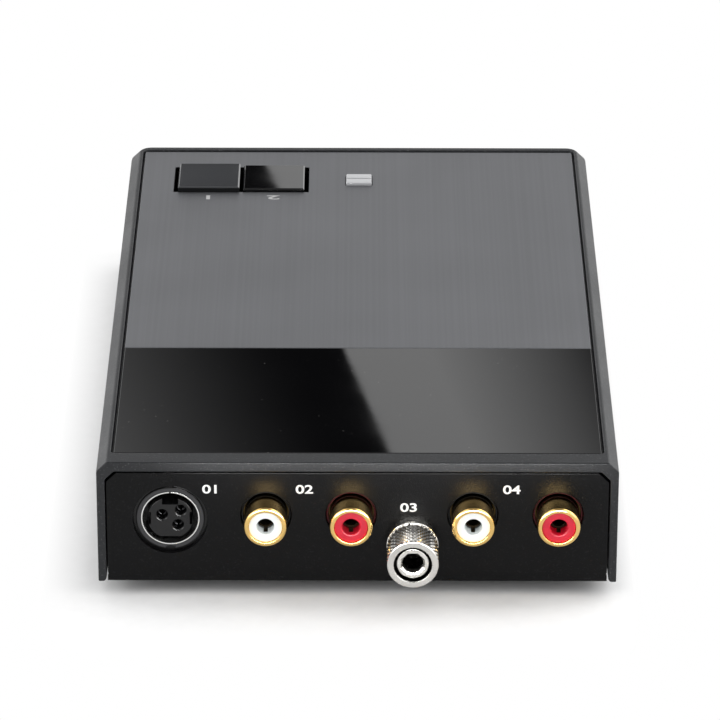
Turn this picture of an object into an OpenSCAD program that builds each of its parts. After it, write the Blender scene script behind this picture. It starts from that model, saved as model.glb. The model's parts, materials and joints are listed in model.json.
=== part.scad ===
// Phono preamp: a cast top shell with two inlays, closed by a folded tray that carries the jack panel.
// The jack panel faces -Y and the control end faces +Y. The feet stand on z = 0.

/* [Shell] */
// Width of the shell
shell_w = 101.2; // [99:0.1:116]
// Length of the shell from the jack end to the control end
shell_l = 160; // [156:0.5:190]
// Height of the shell without its feet
shell_h = 26; // [25:0.1:34]
// Thickness of the side walls and the end wall
wall_t = 1.6; // [1.2:0.1:2.2]
// Chamfer along the top edges
top_chamfer = 2; // [1:0.1:2.4]
// Radius of the upright corners at the control end
corner_r = 4.5; // [3:0.1:6]
// Chamfer inside, where the side walls meet the top
inner_chamfer = 1.8; // [0.5:0.1:2.4]
// Thickness of the top over the jack panel
lip_t = 2.1; // [1.2:0.1:2.6]
// Length of the lip over the jack panel
lip_l = 3; // [2.2:0.1:3.4]
// Width of the bevel along the foot of each side wall
wall_bevel_w = 0.4; // [0.2:0.1:0.9]
// Height of the bevel along the foot of each side wall
wall_bevel_h = 0.6; // [0.4:0.1:3]

/* [Top recess and inlays] */
// Depth of the recess that the inlays lie in
recess_depth = 1.2; // [0.8:0.1:1.6]
// Thickness of the shell under the recess
recess_floor_t = 1.4; // [1:0.1:2]
// Radius of the corners of the recess
recess_r = 1; // [0.5:0.1:2]
// Flat rim beside the recess
side_rim = 0.7; // [0.3:0.1:2]
// Flat rim at the jack end
near_rim = 4.3; // [3.5:0.1:6]
// Flat rim at the control end
far_rim = 1.6; // [1:0.1:4]
// Gap between the inlays and the rim
inlay_gap = 0.45; // [0.2:0.05:0.6]
// How far the inlays lie below the rim
inlay_drop = 0.25; // [0:0.05:0.5]
// Length of the gloss panel
gloss_l = 48.2; // [36:0.1:70]
// Gap between the gloss panel and the brushed plate
seam_gap = 0.15; // [0.05:0.05:0.4]
// Chamfer along the top edges of the inlays
inlay_chamfer = 0.15; // [0.05:0.05:0.3]

/* [Push buttons] */
// Side of each square button
button_size = 13.4; // [10:0.1:14]
// Gap between the two buttons
button_gap = 0.8; // [0.6:0.1:2]
// Gap between the buttons and the sides of their window
button_side_gap = 1; // [0.4:0.1:1.4]
// Gap between the buttons and the ends of their window
button_end_gap = 0.2; // [0.15:0.05:0.6]
// How far the buttons stand proud of the brushed plate
button_proud = 1.1; // [1:0.1:2]
// How far the top of the mono button lies below that of the other
mono_drop = 0.4; // [0:0.1:0.8]
// Travel of a button
button_travel = 1; // [0.6:0.1:1.2]
// Distance of the pair's centre from the middle of the shell
button_pair_x = 25.65; // [24:0.05:27]
// Distance of the pair's centre from the control end
button_pair_end = 19.8; // [19:0.1:24]
// Chamfer around the top of a button
button_chamfer = 0.3; // [0.1:0.05:0.5]
// Wall of a button's skirt
button_wall = 1.2; // [0.9:0.1:1.6]
// Thickness of a button's top
button_top_t = 1.6; // [1.2:0.1:2]
// Thickness of the flange that keeps a button in
button_flange_t = 0.8; // [0.6:0.1:1.2]
// Width of that flange
button_flange_w = 0.9; // [0.7:0.1:1.5]
// Rest gap between the flange and the shell
button_rest_gap = 0.1; // [0.05:0.05:0.2]
// Side of the square stem under a button
stem_side = 4.6; // [4.2:0.1:6]
// Thickness of the ribs under a button
button_rib_t = 1; // [0.8:0.1:1.4]
// Gap left under a button and its plunger when they are pressed
press_gap = 0.5; // [0.3:0.1:0.7]

/* [Push switches] */
// Side of a switch's square case
switch_side = 8.5; // [8:0.1:10]
// Height of a switch's case
switch_h = 8.5; // [8:0.1:9.5]
// Side of the plunger's square rod
plunger_side = 3; // [2.6:0.1:3.2]
// Height of the plunger above the case
plunger_out = 5.9; // [5:0.1:7]
// Widening of the plunger inside the case
plunger_step = 0.4; // [0.3:0.05:0.5]
// Clearance around the plunger
plunger_play = 0.2; // [0.1:0.05:0.3]
// Thickness of the roof and the floor of a switch's case
switch_roof = 1; // [0.8:0.1:1.4]
// Chamfer around the top of a switch's case
switch_chamfer = 0.3; // [0.1:0.1:0.5]

/* [Light pipe and lamp] */
// Width of the light pipe
pipe_w = 5.6; // [4:0.1:7]
// Depth of the light pipe, front to back
pipe_d = 5; // [4:0.1:6]
// How far the light pipe stands proud of the plate
pipe_proud = 0.6; // [0.3:0.1:1]
// Distance of the light pipe from the middle of the shell
pipe_x = 0.1; // [-2:0.1:4]
// Distance of the light pipe from the control end
pipe_end = 20.3; // [19:0.1:24]
// Width of the groove across the light pipe
pipe_groove_w = 0.5; // [0.3:0.1:0.8]
// Depth of the groove across the light pipe
pipe_groove_d = 0.3; // [0.2:0.05:0.4]
// Gap around the light pipe in its window
pipe_gap = 0.15; // [0.1:0.05:0.3]
// Thickness of the light pipe's flange
pipe_flange_t = 0.8; // [0.6:0.1:1.2]
// Width of the light pipe's flange
pipe_flange_w = 1; // [0.8:0.1:1.5]
// Chamfer around the top of the light pipe
pipe_chamfer = 0.15; // [0.05:0.05:0.3]
// Side of the light pipe's square neck over the lamp
pipe_neck = 3.6; // [3.2:0.1:4]
// Gap between the light pipe and the lamp
pipe_lamp_gap = 0.5; // [0.3:0.1:1]
// Diameter of the lamp
lamp_d = 3; // [2.6:0.1:3.4]
// Height of the lamp above the board
lamp_h = 4.4; // [3.6:0.1:5]
// Width of the rim around the lamp's foot
lamp_rim = 0.4; // [0.2:0.1:0.6]
// Height of that rim
lamp_rim_h = 0.8; // [0.5:0.1:1]

/* [Tray and jack panel] */
// Thickness of the tray's sheet
tray_t = 1.2; // [1:0.1:1.4]
// Gap between the tray and the side walls
tray_gap = 0.25; // [0.2:0.05:0.6]
// Gap between the tray and the end wall
tray_end_gap = 0.4; // [0.2:0.1:0.8]
// How far the jack panel lies behind the shell's end
panel_setback = 0.3; // [0:0.1:0.6]
// Gap between the jack panel and the lip above it
panel_top_gap = 0.3; // [0.2:0.05:0.5]
// Outer radius of the tray's bends
bend_r = 1.3; // [1.3:0.1:2.2]
// Slant cut of the jack panel's top corners
panel_corner_cut = 2; // [1.5:0.1:2.8]
// Inward taper at the jack panel's bottom corners
panel_taper_w = 0.8; // [0.3:0.05:1]
// Height of that taper
panel_taper_h = 2; // [1:0.1:3]
// Height of the flange at the control end
flange_h = 8; // [5:0.5:10]
// Relief at each end of that flange
flange_relief = 6; // [4:0.5:10]
// Depth of that relief
relief_depth = 2.2; // [2:0.1:3]

/* [Case screws, bosses and feet] */
// Diameter of the shell's screw bosses
boss_d = 6; // [5:0.1:6.4]
// Distance of the bosses from the side walls
boss_inset = 3.6; // [3.4:0.1:4.4]
// Distance of the first pair of bosses from the jack end
boss_near = 30; // [28:0.5:34]
// Distance of the second pair of bosses from the control end
boss_far = 6.5; // [6:0.1:8]
// Thickness of the rib that ties a boss to its wall
boss_rib_t = 1.4; // [1:0.1:2]
// Height of the tray's clear space under those ribs
boss_rib_gap = 7; // [4:0.5:10]
// Diameter of a case screw's shank
case_screw_d = 2.6; // [2:0.1:3]
// Diameter of a case screw's head
case_head_d = 5.6; // [5:0.1:6.4]
// Height of a case screw's head
case_head_h = 1.6; // [1.2:0.1:2]
// Length of a case screw's shank
case_screw_l = 9; // [6:0.5:12]
// Radial clearance of a screw in its hole
screw_play = 0.3; // [0.2:0.05:0.5]
// Radial play of a screw in its pilot hole
pilot_play = 0.03; // [0.02:0.01:0.05]
// Height of the feet
foot_h = 3.2; // [2.5:0.1:5]
// Diameter of a foot at the floor
foot_d = 9; // [7:0.5:11]
// Diameter of a foot at the tray
foot_top_d = 10; // [8:0.5:12]
// Edge radius of a foot at the floor
foot_edge_r = 0.8; // [0.4:0.1:1.2]
// Distance of the feet from the sides of the shell
foot_inset = 14; // [13:0.5:18]
// Distance of the feet from the ends of the shell
foot_end = 14.5; // [14:0.5:17]

/* [Circuit board] */
// Thickness of the board
board_t = 1.6; // [1.2:0.1:2]
// Height of the standoffs
standoff_h = 2.8; // [2.6:0.1:4]
// Diameter of the standoffs
standoff_d = 5; // [4.4:0.1:6]
// Gap between the board and the side walls
board_side_gap = 2.5; // [2:0.1:3]
// Gap between the board and the jack panel
board_front_gap = 1.1; // [0.5:0.1:1.5]
// Gap between the board and the shell's bosses
board_boss_gap = 1; // [0.6:0.1:1.5]
// Gap between the board and the nut of the ground terminal
board_nut_gap = 2; // [1.6:0.1:3]
// Distance of the standoffs from the middle of the shell
standoff_x = 38; // [37:0.5:38.5]
// Distance of the first standoffs from the jack end
standoff_near = 20; // [19:0.5:21]
// Distance of the last standoffs from the control end
standoff_far = 30; // [29:0.5:31]
// Diameter of a board screw's shank
board_screw_d = 2.5; // [2:0.1:2.8]
// Diameter of a board screw's head
board_head_d = 5; // [4.4:0.1:5.6]
// Height of a board screw's head
board_head_h = 1.8; // [1.4:0.1:2.2]
// Gap between a board screw's tip and the tray
board_screw_gap = 0.3; // [0.1:0.1:0.6]
// Depth of the cross in a screw's head
cross_depth = 0.8; // [0.5:0.1:1]
// Width of the slots of that cross
cross_w = 0.7; // [0.5:0.1:0.9]

/* [Connector row] */
// Share of the jack panel's spare width left of the power inlet, in percent
row_left_share = 30; // [24:1:34]
// Share between the power inlet and the inputs, in percent
row_inlet_share = 31.9; // [28:0.1:34]
// Share between the inputs and the ground terminal, in percent
row_input_share = 6.9; // [5:0.1:9]
// Share between the ground terminal and the outputs, in percent
row_ground_share = 5.7; // [4:0.1:8]

/* [Phono jacks] */
// Distance between the two jacks of a pair
jack_pitch = 16.55; // [14:0.05:16.8]
// Height of the jacks above the tray's underside
jack_z = 14.5; // [14:0.1:16]
// Diameter of a jack's barrel
barrel_d = 8.4; // [8:0.05:8.6]
// Reach of a barrel from the jack panel
barrel_reach = 5.6; // [4.5:0.1:9]
// Rounding of a barrel's lip
barrel_lip = 0.3; // [0.2:0.05:0.4]
// Wall of a barrel
barrel_wall = 0.95; // [0.6:0.05:1]
// Step of a barrel behind the jack panel
barrel_step = 0.2; // [0.1:0.05:0.25]
// Diameter of the holes in the jack panel
jack_hole_d = 9.9; // [9.7:0.05:10.4]
// Diameter of the insulator's bore, which guides a plug's pin
pin_bore_d = 3.4; // [3.3:0.05:3.6]
// Diameter of the centre contact's bore, which grips that pin
grip_bore_d = 3; // [2.9:0.05:3.1]
// Width of the chamfer at the mouth of the insulator's bore
pin_lead_in = 0.2; // [0.1:0.05:0.4]
// How far the insulator lies behind the barrel's lip
insulator_drop = 0.4; // [0.1:0.1:1]
// Length of the insulator's bore before the contact
pin_lead = 3.6; // [2.5:0.1:4]
// Wall of the centre contact
contact_wall = 0.35; // [0.25:0.05:0.5]
// Width of the slots in the centre contact
contact_slot = 0.4; // [0.3:0.05:0.6]
// Length of the centre contact behind its slots
contact_root_l = 2; // [1.5:0.1:3]
// Thickness of the centre contact's floor
contact_floor_t = 0.6; // [0.4:0.1:1]
// Thickness of the insulator behind the centre contact
insulator_floor_t = 1; // [0.6:0.1:1.4]
// Depth of a jack's pocket behind the jack panel
pocket_l = 8.5; // [7:0.1:10]
// Width of a jack's housing
housing_w = 11.4; // [10.4:0.1:12]
// Height of a jack's housing above its axis
housing_up = 5.9; // [5.3:0.1:6.4]
// Length of a jack's housing behind the jack panel
housing_l = 11; // [9.5:0.1:12.5]
// How far a housing's nose lies behind the panel's face
nose_drop = 0.6; // [0.3:0.1:1]
// Gap between a housing's nose and its panel hole
nose_gap = 0.15; // [0.1:0.05:0.25]
// Gap between one piece of a socket and the next
socket_play = 0.05; // [0.02:0.01:0.1]
// Diameter of a jack's solder tail
tail_d = 1.6; // [1:0.1:2]
// How far a jack's solder tail stands out behind its housing
tail_out = 1; // [0.5:0.1:3]

/* [Power inlet] */
// Height of the power inlet above the tray's underside
inlet_z = 13.4; // [13:0.1:14]
// Diameter of its hole in the jack panel
inlet_hole_d = 14.5; // [14.1:0.1:15]
// Diameter of the inlet's flange ring
inlet_ring_d = 13.3; // [12.8:0.1:13.8]
// Diameter of the metal shield
shield_d = 11.4; // [11:0.1:11.8]
// Wall of the metal shield
shield_wall = 0.25; // [0.2:0.05:0.4]
// Width of the seam in the shield
shield_seam = 0.3; // [0.2:0.05:0.5]
// Diameter of the keyed core
core_d = 8.9; // [8.4:0.1:9.2]
// How far the inlet lies behind the panel's face
inlet_drop = 0.7; // [0.4:0.1:1]
// Depth of the inlet's socket
socket_depth = 8; // [6:0.5:9]
// Side of the inlet's square housing
inlet_side = 15; // [14.6:0.1:15.4]
// Length of the inlet's housing behind the jack panel
inlet_l = 13; // [11:0.5:16]
// Width of the notch at the bottom of the flange ring
ring_notch_w = 1.9; // [1.4:0.1:2.6]
// Width of the key slot at the top of the core
key_w = 3.1; // [2.6:0.1:3.4]
// Height of the key slot's floor above the core's middle
key_floor = 3; // [2.9:0.05:3.3]
// Width of the core between its two side slots
side_slot_span = 7.6; // [7.4:0.1:8]
// Height of the two side slots
side_slot_h = 2.6; // [2:0.1:3]
// Distance of the core's flat from its middle
core_flat = 3.95; // [3.7:0.05:4.2]
// Diameter of the contact holes in the core
inlet_pin_hole_d = 2; // [1.8:0.1:2.1]
// Width of the chamfer at the mouth of those holes
inlet_lead_in = 0.3; // [0.1:0.05:0.4]
// Outer diameter of an inlet contact
inlet_contact_d = 1.8; // [1.6:0.05:1.8]
// Bore of an inlet contact
inlet_contact_bore = 1.2; // [1:0.05:1.3]
// How far the contacts lie below the core's face
inlet_contact_drop = 0.8; // [0.5:0.1:1.5]
// Depth of the bore of an inlet contact
inlet_contact_l = 4; // [3:0.5:4.5]
// Diameter of an inlet contact's solder tail
inlet_tail_d = 1; // [0.8:0.1:1.4]
// How far the solder tails stand out behind the housing
inlet_tail_out = 1; // [0.5:0.1:3]

/* [Ground terminal] */
// Height of the ground terminal above the tray's underside
ground_z = 9.1; // [9:0.1:9.3]
// Diameter of the post's tube
post_d = 6.45; // [6:0.05:6.6]
// Bore of the tube, for a 4 mm plug
post_bore_d = 4.1; // [4.05:0.01:4.2]
// Depth of that bore
post_bore_l = 8.4; // [7:0.1:8.6]
// Diameter of the post's mouth at its face
post_mouth_d = 5.5; // [5:0.1:5.8]
// Depth of the post's mouth
post_mouth_l = 0.7; // [0.4:0.1:0.9]
// Chamfer around the post's face
post_chamfer = 0.2; // [0.1:0.05:0.3]
// Diameter of the post's collar on the jack panel
collar_d = 9.4; // [8.6:0.1:10]
// Thickness of that collar
collar_t = 1.2; // [1.2:0.1:1.6]
// Diameter of the knurled nut
nut_d = 10.1; // [9.6:0.1:10.8]
// Reach of the knurled nut from the jack panel
nut_reach = 10.6; // [10.2:0.1:12]
// Chamfer at the ends of the knurled nut
nut_chamfer = 0.3; // [0.2:0.05:0.5]
// Diameter of the recess in the nut's face
nut_recess_d = 7.4; // [7.1:0.1:8]
// Depth of that recess
nut_recess_l = 1.6; // [1:0.1:2.5]
// How far the post's face lies behind the nut's face
post_drop = 0.5; // [0.2:0.1:0.8]
// Thickness of the captive washer
washer_t = 0.8; // [0.6:0.1:1]
// Diameter of the captive washer
washer_d = 9.9; // [9.4:0.1:10.4]
// Radial clearance of the nut and the washer on the post
post_play = 0.05; // [0.03:0.01:0.08]
// Diameter of the post's stud behind the jack panel
stud_d = 4; // [3.5:0.1:4.2]
// Length of that stud behind the jack panel
stud_l = 7.5; // [6.5:0.1:9]
// Width across the flats of the inner nut
inner_nut_af = 7; // [6.5:0.1:7.4]
// Thickness of the inner nut
inner_nut_t = 3; // [2.4:0.1:3.2]
// Thickness of the solder lug
lug_t = 0.6; // [0.4:0.1:0.8]
// Diameter of the solder lug's ring
lug_d = 8; // [7.5:0.1:8.6]
// Reach of the solder lug's tail
lug_reach = 10.5; // [9:0.5:12]
// Width of the solder lug's tail
lug_tail_w = 3; // [2.5:0.1:4]

/* [DIP switches in the underside] */
// Distance of the DIP switches from the middle of the shell
dip_x = 20; // [16:0.5:22]
// Distance of the DIP switches from the jack end
dip_y = 78; // [72:0.5:84]
// Length of a DIP switch
dip_l = 11.6; // [11.2:0.1:12.4]
// Width of a DIP switch
dip_w = 6.6; // [6:0.1:7.4]
// How far a DIP switch lies inside the underside
dip_drop = 0.6; // [0.4:0.1:0.8]
// Gap around a DIP switch in its window
dip_gap = 0.4; // [0.3:0.05:0.6]
// Distance from one slider to the next
dip_pitch = 2.54; // [2.4:0.02:2.6]
// Length of a slider's slot
dip_slot_l = 3.4; // [3:0.1:3.8]
// Width of a slider's slot
dip_slot_w = 1.4; // [1.3:0.05:1.5]
// Depth of a slider's slot
dip_slot_d = 1.6; // [1.2:0.1:1.8]
// Length of a slider
slider_l = 1.6; // [1.4:0.1:1.8]
// Clearance of a slider in its slot
slider_play = 0.1; // [0.05:0.01:0.12]
// How far a slider stands out of its slot
slider_out = 0.3; // [0.1:0.1:0.4]

/* [Parts on the board] */
// Radius of an electrolytic capacitor
can_r = 4; // [3:0.1:4.2]
// Height of an electrolytic capacitor
can_h = 11.5; // [8:0.5:13]
// Depth of the groove around its foot
can_groove = 0.35; // [0.2:0.05:0.5]
// Height of that groove above the board
can_groove_z = 1.6; // [1:0.1:2.4]
// Chamfer around the top of an electrolytic capacitor
can_edge = 0.4; // [0.2:0.1:0.8]
// Width of the vent cross in its top
can_vent_w = 0.4; // [0.2:0.1:0.6]
// Depth of the vent cross
can_vent_d = 0.3; // [0.1:0.1:0.5]
// Electrolytic capacitors in each row
cans_per_row = 3; // [1:1:4]
// Distance between electrolytic capacitors
can_pitch = 11; // [10:0.5:13]
// Distance of the first capacitors from the jack end
can_y = 42; // [40:0.5:44]
// Distance of the capacitor rows from the middle
can_x = 30; // [29:0.5:32]
// Length of a film capacitor
film_l = 7.2; // [6:0.1:8]
// Width of a film capacitor
film_w = 3.5; // [2.5:0.1:4]
// Height of a film capacitor
film_h = 7; // [5:0.1:9]
// Chamfer around the top of a film capacitor
film_chamfer = 0.4; // [0.2:0.1:0.8]
// Film capacitors in each row
films_per_row = 2; // [1:1:2]
// Distance between film capacitors
film_pitch = 6; // [5:0.5:7]
// Distance of the first film capacitors from the jack end
film_y = 22; // [21:0.5:24]
// Distance of the film capacitors from the middle
film_x = 22; // [20:0.5:24]
// Length of an op-amp
chip_l = 9.6; // [9:0.1:10]
// Width of an op-amp's body
chip_w = 6.4; // [6:0.1:6.8]
// Height of an op-amp above the board
chip_h = 3.8; // [3.4:0.1:4.2]
// Gap between an op-amp's body and the board
chip_stand = 0.5; // [0.3:0.1:0.8]
// Chamfer around the top of an op-amp
chip_chamfer = 0.5; // [0.2:0.1:0.8]
// Radius of the notch at one end of an op-amp
chip_notch_r = 0.8; // [0.5:0.1:1.2]
// Depth of that notch
chip_notch_d = 0.4; // [0.2:0.1:0.6]
// Distance between the legs of one side
leg_pitch = 2.54; // [2.2:0.02:2.6]
// Width of a leg
leg_w = 0.5; // [0.4:0.1:1]
// Thickness of a leg
leg_t = 0.3; // [0.2:0.05:0.5]
// Reach of an op-amp's legs beside its body
leg_out = 0.7; // [0.5:0.1:1]
// Op-amps in each row
chips_per_row = 2; // [1:1:2]
// Distance between op-amps
chip_pitch = 20; // [16:0.5:22]
// Distance of the first op-amps from the jack end
chip_y = 52; // [48:0.5:54]
// Distance of the op-amps from the middle
chip_x = 9; // [8:0.5:10]
// Width of a voltage regulator
regulator_w = 10; // [9:0.1:10.5]
// Thickness of a voltage regulator
regulator_t = 4.4; // [4:0.1:5]
// Height of a voltage regulator above the board
regulator_h = 15.5; // [14.5:0.5:16.5]
// Height of its moulded body
regulator_body_h = 8.5; // [7:0.1:9]
// Thickness of its metal tab
regulator_tab_t = 1.3; // [1:0.1:1.6]
// Diameter of the hole in its tab
regulator_hole_d = 3.6; // [3:0.1:4]
// Distance of that hole from the tab's top
regulator_hole_drop = 2.6; // [2.2:0.1:3]
// Length of its leads above the board
regulator_lead_l = 2; // [1:0.5:3]
// Width of its leads
regulator_lead_w = 0.8; // [0.6:0.1:1.2]
// Distance of the regulators from the middle
regulator_x = 30; // [28:0.5:34]
// Distance of the regulators from the jack end
regulator_y = 92; // [88:0.5:96]
// Length of a resistor
resistor_l = 6.3; // [5:0.1:7]
// Diameter of a resistor at its ends
resistor_d = 2.4; // [1.8:0.1:2.6]
// Length of those thicker ends
resistor_cap_l = 1.2; // [0.8:0.1:1.6]
// Depth of a resistor's waist
resistor_waist = 0.25; // [0.1:0.05:0.4]
// Diameter of a resistor's leads
resistor_lead_d = 0.6; // [0.4:0.1:0.8]
// Reach of the leads beside a resistor
resistor_lead_out = 1.6; // [1:0.1:2.5]
// Resistors in each row
resistors_per_row = 4; // [1:1:4]
// Distance between resistors
resistor_pitch = 4; // [3:0.5:5]
// Distance of the first resistor from the jack end
resistor_y = 106; // [104:0.5:108]
// Distance of the resistor rows from the middle
resistor_x = 12; // [11:0.5:14]

/* [Hidden] */
$fn = 64;
eps = 0.01;
slack = 1;

// Levels above the tray's underside
recess_floor = shell_h - recess_depth;
roof = recess_floor - recess_floor_t;
lip_roof = shell_h - lip_t;
inlay_top = shell_h - inlay_drop;
inlay_t = recess_depth - inlay_drop;
panel_top = lip_roof - panel_top_gap;
board_bottom = tray_t + standoff_h;
board_top = board_bottom + board_t;

// Plan of the shell
half_w = shell_w / 2;
inner_half = half_w - wall_t;
inner_end = shell_l - wall_t;
inner_r = corner_r - wall_t;
tray_half = inner_half - tray_gap;
tray_end = inner_end - tray_end_gap;
panel_inner = panel_setback + tray_t;
recess_half = half_w - top_chamfer - side_rim;
recess_end = shell_l - top_chamfer - far_rim;
inlay_half = recess_half - inlay_gap;
gloss_start = near_rim + inlay_gap;
plate_start = gloss_start + gloss_l + seam_gap;
plate_end = recess_end - inlay_gap;

// Where the shell's jack end lies, so that the whole is centred front to back
nut_past_end = nut_reach - panel_setback;
jack_end_y = (nut_past_end - shell_l) / 2;

// Buttons and switches
button_step = (button_size + button_gap) / 2;
button_pair_y = shell_l - button_pair_end;
window_w = 2 * button_size + button_gap + 2 * button_side_gap;
window_d = button_size + 2 * button_end_gap;
subsonic_x = -button_pair_x - button_step;
mono_x = -button_pair_x + button_step;
button_top = inlay_top + button_proud;
flange_top = roof - button_rest_gap;
skirt_bottom = flange_top - button_flange_t;
switch_top = board_top + switch_h;
plunger_top = switch_top + plunger_out;
stem_bottom = switch_top + button_travel + press_gap;
plunger_foot_side = plunger_side + 2 * plunger_step;
plunger_foot_bottom = board_top + switch_roof + button_travel + press_gap;
plunger_foot_top = switch_top - switch_roof - plunger_play;

// Light pipe and lamp
pipe_y = shell_l - pipe_end;
pipe_top = inlay_top + pipe_proud;
lamp_r = lamp_d / 2;
pipe_bottom = board_top + lamp_h + pipe_lamp_gap;

// Bosses, feet and standoffs, as [x, y] places
boss_x = inner_half - boss_inset;
boss_places = [for (s = [-1, 1], y = [boss_near, shell_l - boss_far]) [s * boss_x, y]];
foot_x = half_w - foot_inset;
foot_far = shell_l - foot_end;
standoff_places = [
    for (s = [-1, 1], y = [standoff_near, shell_l - standoff_far]) [s * standoff_x, y]
];

// Board
board_half = inner_half - board_side_gap;
board_start = panel_inner + board_front_gap;
board_end = shell_l - boss_far - boss_d / 2 - board_boss_gap;
board_notch = boss_d / 2 + board_boss_gap;
board_screw_l = board_t + standoff_h - board_screw_gap;
ground_notch_half = inner_nut_af / 2 + board_nut_gap;

// Connector row: inlet, input pair, ground terminal, output pair, with the spare width shared out
jack_pair_w = jack_pitch + housing_w;
row_spare = 2 * inner_half - inlet_side - 2 * jack_pair_w - nut_d;
inlet_x = -inner_half + row_gap(row_left_share) + inlet_side / 2;
input_x = inlet_x + inlet_side / 2 + row_gap(row_inlet_share) + jack_pair_w / 2;
ground_x = input_x + jack_pair_w / 2 + row_gap(row_input_share) + nut_d / 2;
output_x = ground_x + nut_d / 2 + row_gap(row_ground_share) + jack_pair_w / 2;

// Jacks
input_left_x = input_x - jack_pitch / 2;
input_right_x = input_x + jack_pitch / 2;
output_left_x = output_x - jack_pitch / 2;
output_right_x = output_x + jack_pitch / 2;
jack_places = [input_left_x, input_right_x, output_left_x, output_right_x];
barrel_r = barrel_d / 2;
barrel_root_r = barrel_r + barrel_step;
insulator_r = barrel_r - barrel_wall - socket_play;
insulator_face = barrel_reach - insulator_drop;
contact_front = insulator_face - pin_lead;
pin_bore_r = pin_bore_d / 2;
grip_bore_r = grip_bore_d / 2;
contact_r = grip_bore_r + contact_wall;
pocket_floor = -tray_t - pocket_l;
contact_back = pocket_floor + insulator_floor_t;

// Power inlet
ring_r = inlet_ring_d / 2;
shield_r = shield_d / 2;
core_r = core_d / 2;
socket_floor = -inlet_drop - socket_depth;
contact_spots = [[-1.6, 0.75], [1.5, -1.45], [2.05, 1.7]];

// Ground terminal
nut_back = collar_t + washer_t;
post_face = nut_reach - post_drop;
post_bore_mouth = post_face - post_mouth_l;
post_hole_r = post_d / 2 + post_play;
lug_back = tray_t + lug_t;

// DIP switches
dip_face = dip_drop;
slider_back = dip_face + dip_slot_d - slider_play / 2;
slider_front = dip_face - slider_out;
slider_w = dip_slot_w - 2 * slider_play;

// Colours
powder = "#35373a";
brushed = "#707173";
gloss = "#0b0b0d";
satin_black = "#1e1f21";
gold = "#d8b86e";
nickel = "#bdbdb9";

// ---- placing ----

// Body frame: x across, y from the shell's jack end, z from the tray's underside
module in_body() {
    translate([0, jack_end_y, foot_h]) children();
}

// Frame of a jack: x across, y up, z out of the jack panel's face
module at_panel(x, z) {
    in_body() translate([x, panel_setback, z]) rotate([90, 0, 0]) children();
}

// Extrudes an outline of the YZ plane across the body, centred on x = 0
module across(w) {
    translate([-w / 2, 0, 0]) rotate([90, 0, 90]) linear_extrude(w) children();
}

// Extrudes an outline of the XZ plane from y = start to y = end
module along(start, end) {
    translate([0, end, 0]) rotate([90, 0, 0]) linear_extrude(end - start) children();
}

// Part of the jack panel's spare width, from its share in percent
function row_gap(share) = row_spare * share / 100;

// ---- shapes that repeat ----

// Outline with square corners at the jack end and round ones at the control end
module shell_outline(w, l, r) {
    translate([-w / 2, 0]) square([w, l - r]);
    translate([r - w / 2, l - r - eps]) square([w - 2 * r, r + eps]);
    for (s = [-1, 1]) translate([s * (w / 2 - r), l - r]) circle(r);
}

// Rectangle with round corners, centred on x = 0
module round_rect(w, start, end, r) {
    translate([-w / 2, start + r]) square([w, end - start - 2 * r]);
    translate([r - w / 2, start]) square([w - 2 * r, end - start]);
    for (x = [r - w / 2, w / 2 - r], y = [start + r, end - r]) translate([x, y]) circle(r);
}

// Block centred on x and y, with a chamfer around its top
module chamfered_block(w, d, h, c) {
    intersection() {
        along(-d / 2, d / 2) chamfered_side(w, h, c);
        across(w) chamfered_side(d, h, c);
    }
}

module chamfered_side(w, h, c) {
    polygon([
        [-w / 2, 0],
        [w / 2, 0],
        [w / 2, h - c],
        [w / 2 - c, h],
        [c - w / 2, h],
        [-w / 2, h - c]
    ]);
}

// Square bar centred on x and y, between two levels
module square_bar(side, bottom, top) {
    translate([-side / 2, -side / 2, bottom]) cube([side, side, top - bottom]);
}

// Tube along z between two levels
module tube(r_out, r_in, bottom, top) {
    translate([0, 0, bottom]) difference() {
        cylinder(r = r_out, h = top - bottom);
        translate([0, 0, -slack]) cylinder(r = r_in, h = top - bottom + 2 * slack);
    }
}

// Pan head screw along z: the head's seat at z = 0, the shank towards +z
module pan_screw(head_d, head_h, shank_d, shank_l) {
    rim = head_h / 3;
    difference() {
        union() {
            rotate_extrude() polygon([
                [0, -head_h],
                [head_d / 2 - rim, -head_h],
                [head_d / 2, rim - head_h],
                [head_d / 2, 0],
                [0, 0]
            ]);
            translate([0, 0, -eps]) cylinder(d = shank_d, h = shank_l + eps);
        }
        for (a = [0, 90]) rotate([0, 0, a])
            translate([-head_d / 4, -cross_w / 2, -head_h - slack])
                cube([head_d / 2, cross_w, cross_depth + slack]);
    }
}

// ---- top shell ----

// Slab of the shell's outline whose far and side edges lean in by the chamfer
module chamfer_layer() {
    c = top_chamfer;
    r = corner_r;
    across(shell_w - 2 * r) polygon([[0, 0], [shell_l, 0], [shell_l - c, c], [0, c]]);
    along(0, shell_l - r) polygon([[-half_w, 0], [half_w, 0], [half_w - c, c], [c - half_w, c]]);
    for (s = [0, 1]) mirror([s, 0, 0]) translate([half_w - r, shell_l - r, 0])
        rotate_extrude(angle = 90) polygon([[0, 0], [r, 0], [r - c, c], [0, c]]);
}

// Inside of the shell: lower under the recess than under the lip
module shell_cavity() {
    intersection() {
        translate([0, -slack, -slack])
            linear_extrude(shell_h) shell_outline(2 * inner_half, inner_end + slack, inner_r);
        along(-slack, shell_l) polygon([
            [-inner_half, -slack],
            [inner_half, -slack],
            [inner_half, lip_roof - inner_chamfer],
            [inner_half - inner_chamfer, lip_roof],
            [inner_chamfer - inner_half, lip_roof],
            [-inner_half, lip_roof - inner_chamfer]
        ]);
        union() {
            translate([-shell_w, -slack, -slack]) cube([2 * shell_w, 2 * shell_l, roof + slack]);
            translate([-shell_w, -slack, -slack]) cube([2 * shell_w, lip_l + slack, shell_h + slack]);
        }
    }
}

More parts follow.
